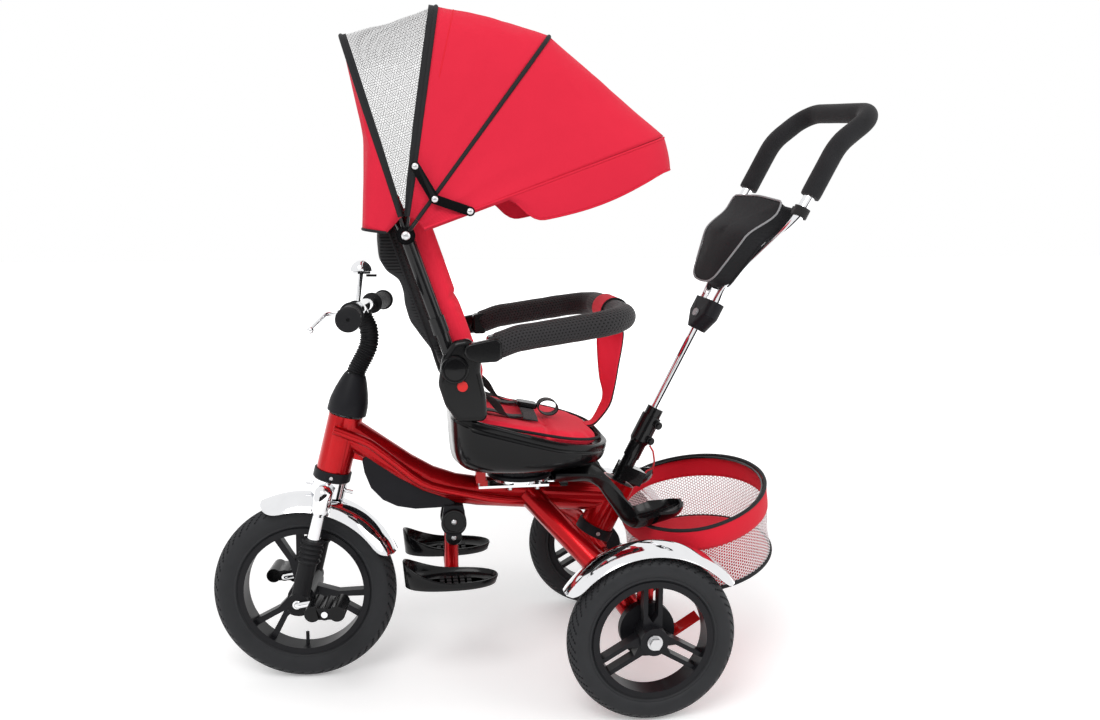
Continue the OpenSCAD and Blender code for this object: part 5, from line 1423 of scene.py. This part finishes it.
def mouldShell():
    outer = seatOutline(0)
    ringPoints = [Vector((x, y, 0)) for x, y in outer]
    even = evenPath(ringPoints + [ringPoints[0]], shellWork["spacing"])[:-1]
    # levels of the rim: distance in from the outline, height above it
    seatToFrame = frameSpace.inverted() @ seatSpace
    base = Vector((shellWork["turnX"], 0, shellWork["turnHeight"]))
    levels = [(-11, -9.5), (-9.5, 0.2), (-7, 1.6), (-3.4, 1.8), (-0.6, 0.4), (0, -2.5), (0.2, -8), (-1.6, -9.4),
              (-1.4, -11.5), (-0.2, -13)]
    rings = []
    for inset, height in levels:
        line = []
        for point in even:
            spot = Vector((point.x, point.y, 0))
            centre = Vector((134, 0, 0))
            inward = (centre - spot)
            rearShare = max(0.0, (point.x - 96) / 172) ** 1.2 * (0.25 if inset < -8 else 1)
            spot = spot - Vector((inward.x * 0.08, inward.y * 0.17, 0)) * rearShare
            lift = Vector((0, 0, height + 19 * rearShare))
            line.append(seatToFrame @ (spot + inward.normalized() * -inset + lift))
        rings.append(line)
    lowRim = rings[-1]
    for share, lift in ((0.03, 0.92), (0.06, 0.78), (0.11, 0.6), (0.18, 0.42), (0.28, 0.27), (0.42, 0.15),
                        (0.6, 0.06), (0.8, 0.01), (1.0, 0.0)):
        line = []
        for point in lowRim:
            flat = Vector((point.x - base.x, point.y, 0))
            edge = base + flat.normalized() * shellWork["turntable"]
            reach = share ** 1.25
            spot = Vector((point.x + (edge.x - point.x) * reach, point.y + (edge.y - point.y) * reach, 0))
            spot.z = edge.z + (point.z - edge.z) * lift
            line.append(spot)
        rings.append(line)
    keep("seatShell", loftRings(rings), "blackPlastic", "seat", "black_plastic", ["seat_shell"], frameSpace, 50)
    # turntable ring with its ribs
    profile = [(8.1, 337.4), (54, 337.4), (56, 339), (56, 344), (52, 347), (52, 362), (56, 366), (56, 372),
               (8.1, 372)]
    ring = spinProfile([(radius, 0, height) for radius, height in profile], (0, 0, 1), 64)
    ribs = [face for face in ring.faces if 347 < face.calc_center_median().z < 362
            and round(atan2(face.calc_center_median().y, face.calc_center_median().x) / (2 * pi) * 64) % 4 == 0
            and hypot(face.calc_center_median().x, face.calc_center_median().y) > 40]
    bmesh.ops.inset_individual(ring, faces=ribs, thickness=0.6, depth=3.0)
    keep("turntable", ring, "darkPlastic", "seat", "black_plastic", (),
         frameSpace @ Matrix.Translation((shellWork["turnX"], 0, 0)), 40)


mouldShell()
print("seat shell moulded")


# side housings: hinge discs over the CAD housings; the bar's clamps are made with the crotch strap
def turnDisc(name, spot, radii, body, finish, slotName):
    # radii: radius and distance out along Y, turned about Y at spot; made for both sides
    for sideName, sign in sidePairs:
        shape = spinProfile([(radius, distance, 0) for radius, distance in radii], (0, 1, 0), 40)
        bmesh.ops.remove_doubles(shape, verts=shape.verts, dist=0.001)
        bmesh.ops.recalc_face_normals(shape, faces=shape.faces)
        space = frameSpace @ Matrix.Diagonal((1, sign, 1, 1)) @ Matrix.Translation(spot)
        if sign < 0:
            bmesh.ops.reverse_faces(shape, faces=shape.faces)
        keep(name + sideName, shape, finish, body, slotName, (), space, 40)


houseOut = 136 + 11.5 + 21
turnDisc("hingeCap", (295, houseOut + 7.4, 550), [(21, -7), (21, 0.2), (20.2, 1.2), (17.8, 1.6), (17.2, 0.7),
                                                  (16.4, 0.7), (15.6, 1.7),
                                                  (8, 2.4), (0.01, 2.6)], "seat", "blackPlastic", "black_plastic")
print("housings capped")


# handle bag: two crowned faces, a gusset and grey piping
bagWork = {"front": 16.0, "back": -28.0, "crown": 7.0, "sag": 5.0}


def bagOutline(grow=0.0):  # Y across, Z up the handle
    corners = [(0, 474 - grow, 120), (38 + grow, 480 - grow, 30), (70 + grow, 560, 90), (85 + grow, 626, 16),
               (82 + grow, 648 + grow, 10),
               (0, 653 + grow, 200), (-82 - grow, 648 + grow, 10), (-85 - grow, 626, 16), (-70 - grow, 560, 90),
               (-38 - grow, 480 - grow, 30)]
    return [Vector((0, y, z)) for y, z in roundOutline(corners, 12)]


def leanOut(height):  # the sack's lower part rests in front of the legs
    share = min(1.0, max(0.0, (628 - height) / 64))
    return 26 * share * share * (3 - 2 * share)


def sewBag():
    outline = bagOutline(-2)
    line = evenPath(outline + [outline[0]], 7)[:-1]
    centre = Vector((0, 0, 585))
    sections, rings = [], []
    for share in (0.12, 0.3, 0.5, 0.7, 0.86, 0.95, 1.0):
        sections.append((bagWork["front"] - bagWork["crown"] * share ** 2.5, share))
    gusset = bagWork["front"] - bagWork["crown"]
    depthOver = bagWork["back"] + 5 - gusset
    for step in range(1, 6):
        sections.append((gusset + depthOver * step / 6, 1.0 - 0.035 * sin(pi * step / 6)))
    for share in (1.0, 0.95, 0.86, 0.7, 0.5, 0.3, 0.12):
        sections.append((bagWork["back"] + 5 * share ** 2.5, share))
    for depth, share in sections:
        ring = []
        for point in line:
            spot = centre.lerp(point, share)
            crease = noise.noise(Vector((spot.y * 0.03, spot.z * 0.02, depth * 0.05))) * 2.2 * share
            sagging = bagWork["sag"] * max(0.0, 1 - abs(share - 0.5) * 2) * (1 if depth > 0 else 0.4)
            ring.append((depth + leanOut(spot.z) + crease * 0.6 + sagging * 0.3, spot.y, spot.z - sagging * 0.4))
        rings.append(ring)
    bag = keep("handleBag", loftRings(rings), "bagCloth", "push_handle", "black_cloth", ["handle_bag"], handleSpace,
               60)
    refine(bag, 1)
    for name, depth, finish in (("bagFrontPiping", bagWork["front"] - bagWork["crown"] + 0.4, "bagPiping"),
                                ("bagBackPiping", bagWork["back"] + 4.6, "piping")):
        ring = [Vector((depth + leanOut(point.z), point.y, point.z)) for point in line]
        keep(name, sweep(ring, 1.6, 10, (1, 0, 0), closed=True), finish, "push_handle", "black_cloth", (),
             handleSpace, 70)
    # straps round the handle's legs, each with a fold and a patch of hook tape
    for sideName, sign in sidePairs:
        band = [(Vector((-18 + 12.2 * cos(radians(angle)), sign * 100 + 12.2 * sin(radians(angle)), 642)),
                 Vector((0, 0, 8)))
                for angle in range(0, 361, 20)]
        handleRibbon("bagStrap" + sideName, band, 0.0022)
        tail = [(Vector((-17, sign * y, 642)), Vector((0, 0, 8))) for y in (92, 86, 80, 74)]
        handleRibbon("bagTab" + sideName, tail, 0.003)


def handleRibbon(name, stations, thickness):
    middle = frameSpace.inverted() @ handleSpace
    turned = [(middle @ Vector(spot), middle.to_3x3() @ Vector(half)) for spot, half in stations]
    return ribbon(name, turned, "webbing", "push_handle", "black_cloth", thickness, (), 0, 3)


sewBag()
print("bag sewn")


# leg channels: one moulded trough each, open at the heel cup
legRest = {"centre": 100, "half": 40, "wall": 5.0}


def mouldLegRests():
    line = evenPath(roundPath([(136, 0, 358), (80, 0, 357), (62, 0, 345), (22, 0, 285), (6, 0, 273), (-16, 0, 276),
                               (-56, 0, 287),
                               (-84, 0, 295)], [30, 16, 16, 22, 40, 60], 12), 5)
    count = len(line)

    def build(sign):
        def place(u, v):
            spot = min(count - 1.001, v * (count - 1))
            index = int(spot)
            middle = line[index].lerp(line[index + 1], spot - index)
            ahead = (line[min(index + 2, count - 1)] - line[max(index - 1, 0)]).normalized()
            up = Vector((0, 1, 0)).cross(ahead) * -1
            if up.z < 0 and abs(up.z) > 0.3 or up.x < -0.2 and up.z < 0.3:
                up = -up
            endShare = max(0.0, (v - 0.84) / 0.16)
            side = abs(u * 2 - 1)
            half = legRest["half"] * (0.88 + 0.12 * sin(pi * min(1, v * 1.3)))
            half *= sqrt(max(0.04, 1 - endShare ** 3.2))
            waistShare = max(0.0, 1 - abs(v - 0.5) / 0.3)
            wallHeight = 13 + 12 * waistShare - 3 * endShare + 5 * max(0.0, 1 - abs(v - 0.82) / 0.1)
            rise = wallHeight * max(0.0, (side - 0.5) / 0.5) ** 2.2 + 9 * endShare ** 3 * (1 - side * 0.4)
            flare = 2.0 * max(0.0, (side - 0.82) / 0.18)
            return middle + up * rise + Vector((0, sign * legRest["centre"] + (u * 2 - 1) * (half - 2 + flare), 0))

        return spread(26, 70, 0.1, 0.3, place)

    for sideName, sign in bothSides:
        rest = keep(sideName + "LegRest", build(sign), "blackPlastic", "frame", "black_plastic", ["leg_rests"],
                    frameSpace, 70)
        thicken(rest, legRest["wall"] / 1000, 0)
        roundEdges(rest, 0.0018, 3, 60)
    # the cross bracket on the seat plate, folded from strip
    bracketX = shellWork["turnX"] - 56 - 18 + 6.5
    bar = slabShape(roundOutline([(-6.5, -64, 3), (6.5, -64, 3), (6.5, 64, 3), (-6.5, 64, 3)], 4), 331.3, 335)
    roundEdges(keep("legRestBracket", bar, "blackPlastic", "frame", "black_plastic", (),
                    frameSpace @ Matrix.Translation((bracketX, 0, 0)), 40), 0.001, 2, 40)
    for sideName, sign in bothSides:
        leg = slabShape(roundOutline([(-6.5, -2, 0.8), (6.5, -2, 0.8), (6.5, 2, 0.8), (-6.5, 2, 0.8)], 3), 331.3,
                        356)
        keep(sideName + "RestLeg", leg, "blackPlastic", "frame", "black_plastic", (),
             frameSpace @ Matrix.Translation((bracketX, sign * 60, 0)), 40)


mouldLegRests()
print("leg rests moulded")


# side housings of the recline joint
housing = {"inner": 147.5, "wide": 21, "edge": 0.0085}


def mouldHousings():
    outline = [(292, 468, 10), (310, 494, 30), (320, 526, 26), (314, 566, 26), (296, 592, 16), (272, 596, 14),
               (254, 572, 10),
               (256, 544, 16), (248, 506, 40), (246, 468, 10)]
    turned = frameSpace @ swapYZ
    for sideName, sign in bothSides:
        low = housing["inner"] if sign > 0 else -housing["inner"] - housing["wide"]
        shape = slabShape(roundOutline(outline, 12), low, low + housing["wide"])
        house = keep(sideName + "Housing", shape, "blackPlastic", "seat", "black_plastic", ["recline_brackets"],
                     turned, 40)
        roundEdges(house, housing["edge"], 5, 40)


mouldHousings()
print("housings moulded")


# foot trays: a heel cup that falls away to a low rim, with tread pads
hingeX, hingeZ = 293, 261
trayY, trayZ = 42, 178
tray = {"middle": 302, "half": 78, "wide": 38, "wall": 3.4, "floor": 5.0, "low": 14, "high": 30}


def mouldTrays():
    count = 72

    def ring(inset, height, lift):  # lift: share of the wall's own height
        line = []
        for step in range(count):
            turn = 2 * pi * step / count
            ahead = cos(turn)
            narrow = 1 - 0.1 * max(0.0, -ahead) ** 2
            wall = tray["low"] + tray["high"] * max(0.0, (ahead + 0.1) / 1.1) ** 1.7
            draft = 3.2 * (1 - lift)
            rounded = abs(ahead) ** 0.86 * (1 if ahead > 0 else -1)
            sideways = abs(sin(turn)) ** 0.86 * (1 if sin(turn) > 0 else -1)
            line.append(Vector((tray["middle"] + rounded * (tray["half"] - inset - draft),
                                sideways * (tray["wide"] - inset - draft) * narrow, height + lift * wall)))
        return line

    rings = [ring(14, 0, 0), ring(2, 0, 0), ring(0.4, 1.2, 0), ring(0.2, 0, 0.5), ring(0, -1.4, 1), ring(0.9, 0, 1),
             ring(2.4, 0, 1),
             ring(tray["wall"], -1.4, 1), ring(tray["wall"], 1.0, 0.5),
             ring(tray["wall"] + 1, tray["floor"] + 1.5, 0),
             ring(tray["wall"] + 4, tray["floor"], 0), ring(22, tray["floor"], 0)]
    for sideName, sign in sidePairs:
        space = frameSpace @ Matrix.Translation((0, sign * (trayY + tray["wide"]), trayZ))
        keep("footTray" + sideName, loftRings(rings), "blackPlastic", "footrest", "black_plastic",
             ["footplates"] if sign > 0 else (), space, 50)
        pads = bmesh.new()
        for row in range(3):
            for column in range(5):
                centre = Matrix.Translation((tray["middle"] + 14 - 11 * column, -13 + 13 * row,
                                             tray["floor"] + 0.2))
                bmesh.ops.create_cube(pads, size=1, matrix=centre @ Matrix.Diagonal((7.5, 9, 2.2, 1)))
        roundEdges(keep("treadPads" + sideName, pads, "rubber", "footrest", "black_plastic", (), space, 40), 0.0005,
                   2, 40)


mouldTrays()
turnDisc("footHingeCap", (hingeX, 27.5, hingeZ + 5), [(21, -9), (21, 0.4), (20, 1.6), (17, 1.9), (16.4, 1.3),
                                                      (0.01, 1.3)], "frame",
         "blackPlastic", "black_plastic")
turnDisc("footHingeScrew", (hingeX, 28.8, hingeZ + 5), [(4.6, -0.6), (4.6, 0.8), (3.8, 1.8), (1.9, 2.2), (1.8, 0.9),
                                                        (0.01, 0.9)], "frame",
         "steel", "steel")
turnDisc("footLatchCap", (hingeX, 14.5, hingeZ - 27), [(0.01, -13), (14, -13), (14, 0), (13, 1.2), (0.01, 1.6)],
         "footrest",
         "blackPlastic", "black_plastic")
turnDisc("footLatchScrew", (hingeX, 16, hingeZ - 27), [(4.2, -0.6), (4.2, 0.6), (3.4, 1.5), (1.8, 1.8), (1.7, 0.7),
                                                       (0.01, 0.7)], "footrest",
         "steel", "steel")
print("foot trays moulded")


def hangLanyard():
    # the red cord of the height button's pin
    line = evenPath(roundPath([(-12, 20, 184.25), (-20, 26, 178), (-30, 27, 164), (-36, 24, 152), (-35, 18, 145),
                               (-33, 15, 141),
                               (-32.5, 14.2, 136.4)], [5, 9, 8, 4, 3], 8), 1.5)
    cord = keep("lanyardCord", sweep(line, 1.6, 10, (1, 0, 0)), "redCord", "push_post", "red_cord", ["lanyard"],
                handleSpace, 80)
    path = [handleSpace @ point for point in line]
    drawn = sum((far - near).length for near, far in zip(path, path[1:]))
    tuple(path[0])
    [tuple(point) for point in path]


hangLanyard()


# the loose and stretched cloths, each with the flat size of its cut
def declareCloths():
    def named(name):
        return bpy.data.objects[name]

    declareCloth(window, 0.878, 0.1404, 0.0764)
    declareCloth(top, 0.948, 0.1665, 0.0976)
    declareCloth(front, 1.072, 0.2257, 0.1418)
    # the visor's depth along the front bow
    declareCloth(visor, 1.072, 0.0581, 0.042)
    declareCloth(named("canopyFlap"), 0.809, 0.2825, 0.0953)
    declareCloth(named("basketBand"), 1.003, 0.0402, 0.0364)
    declareCloth(named("basketNetting"), 0.981, 0.0846, 0.0742)
    declareCloth(named("basketFloor"), 0.339, 0.2436, 0.0649)


declareCloths()
print("cloths declared")


print("scene built")
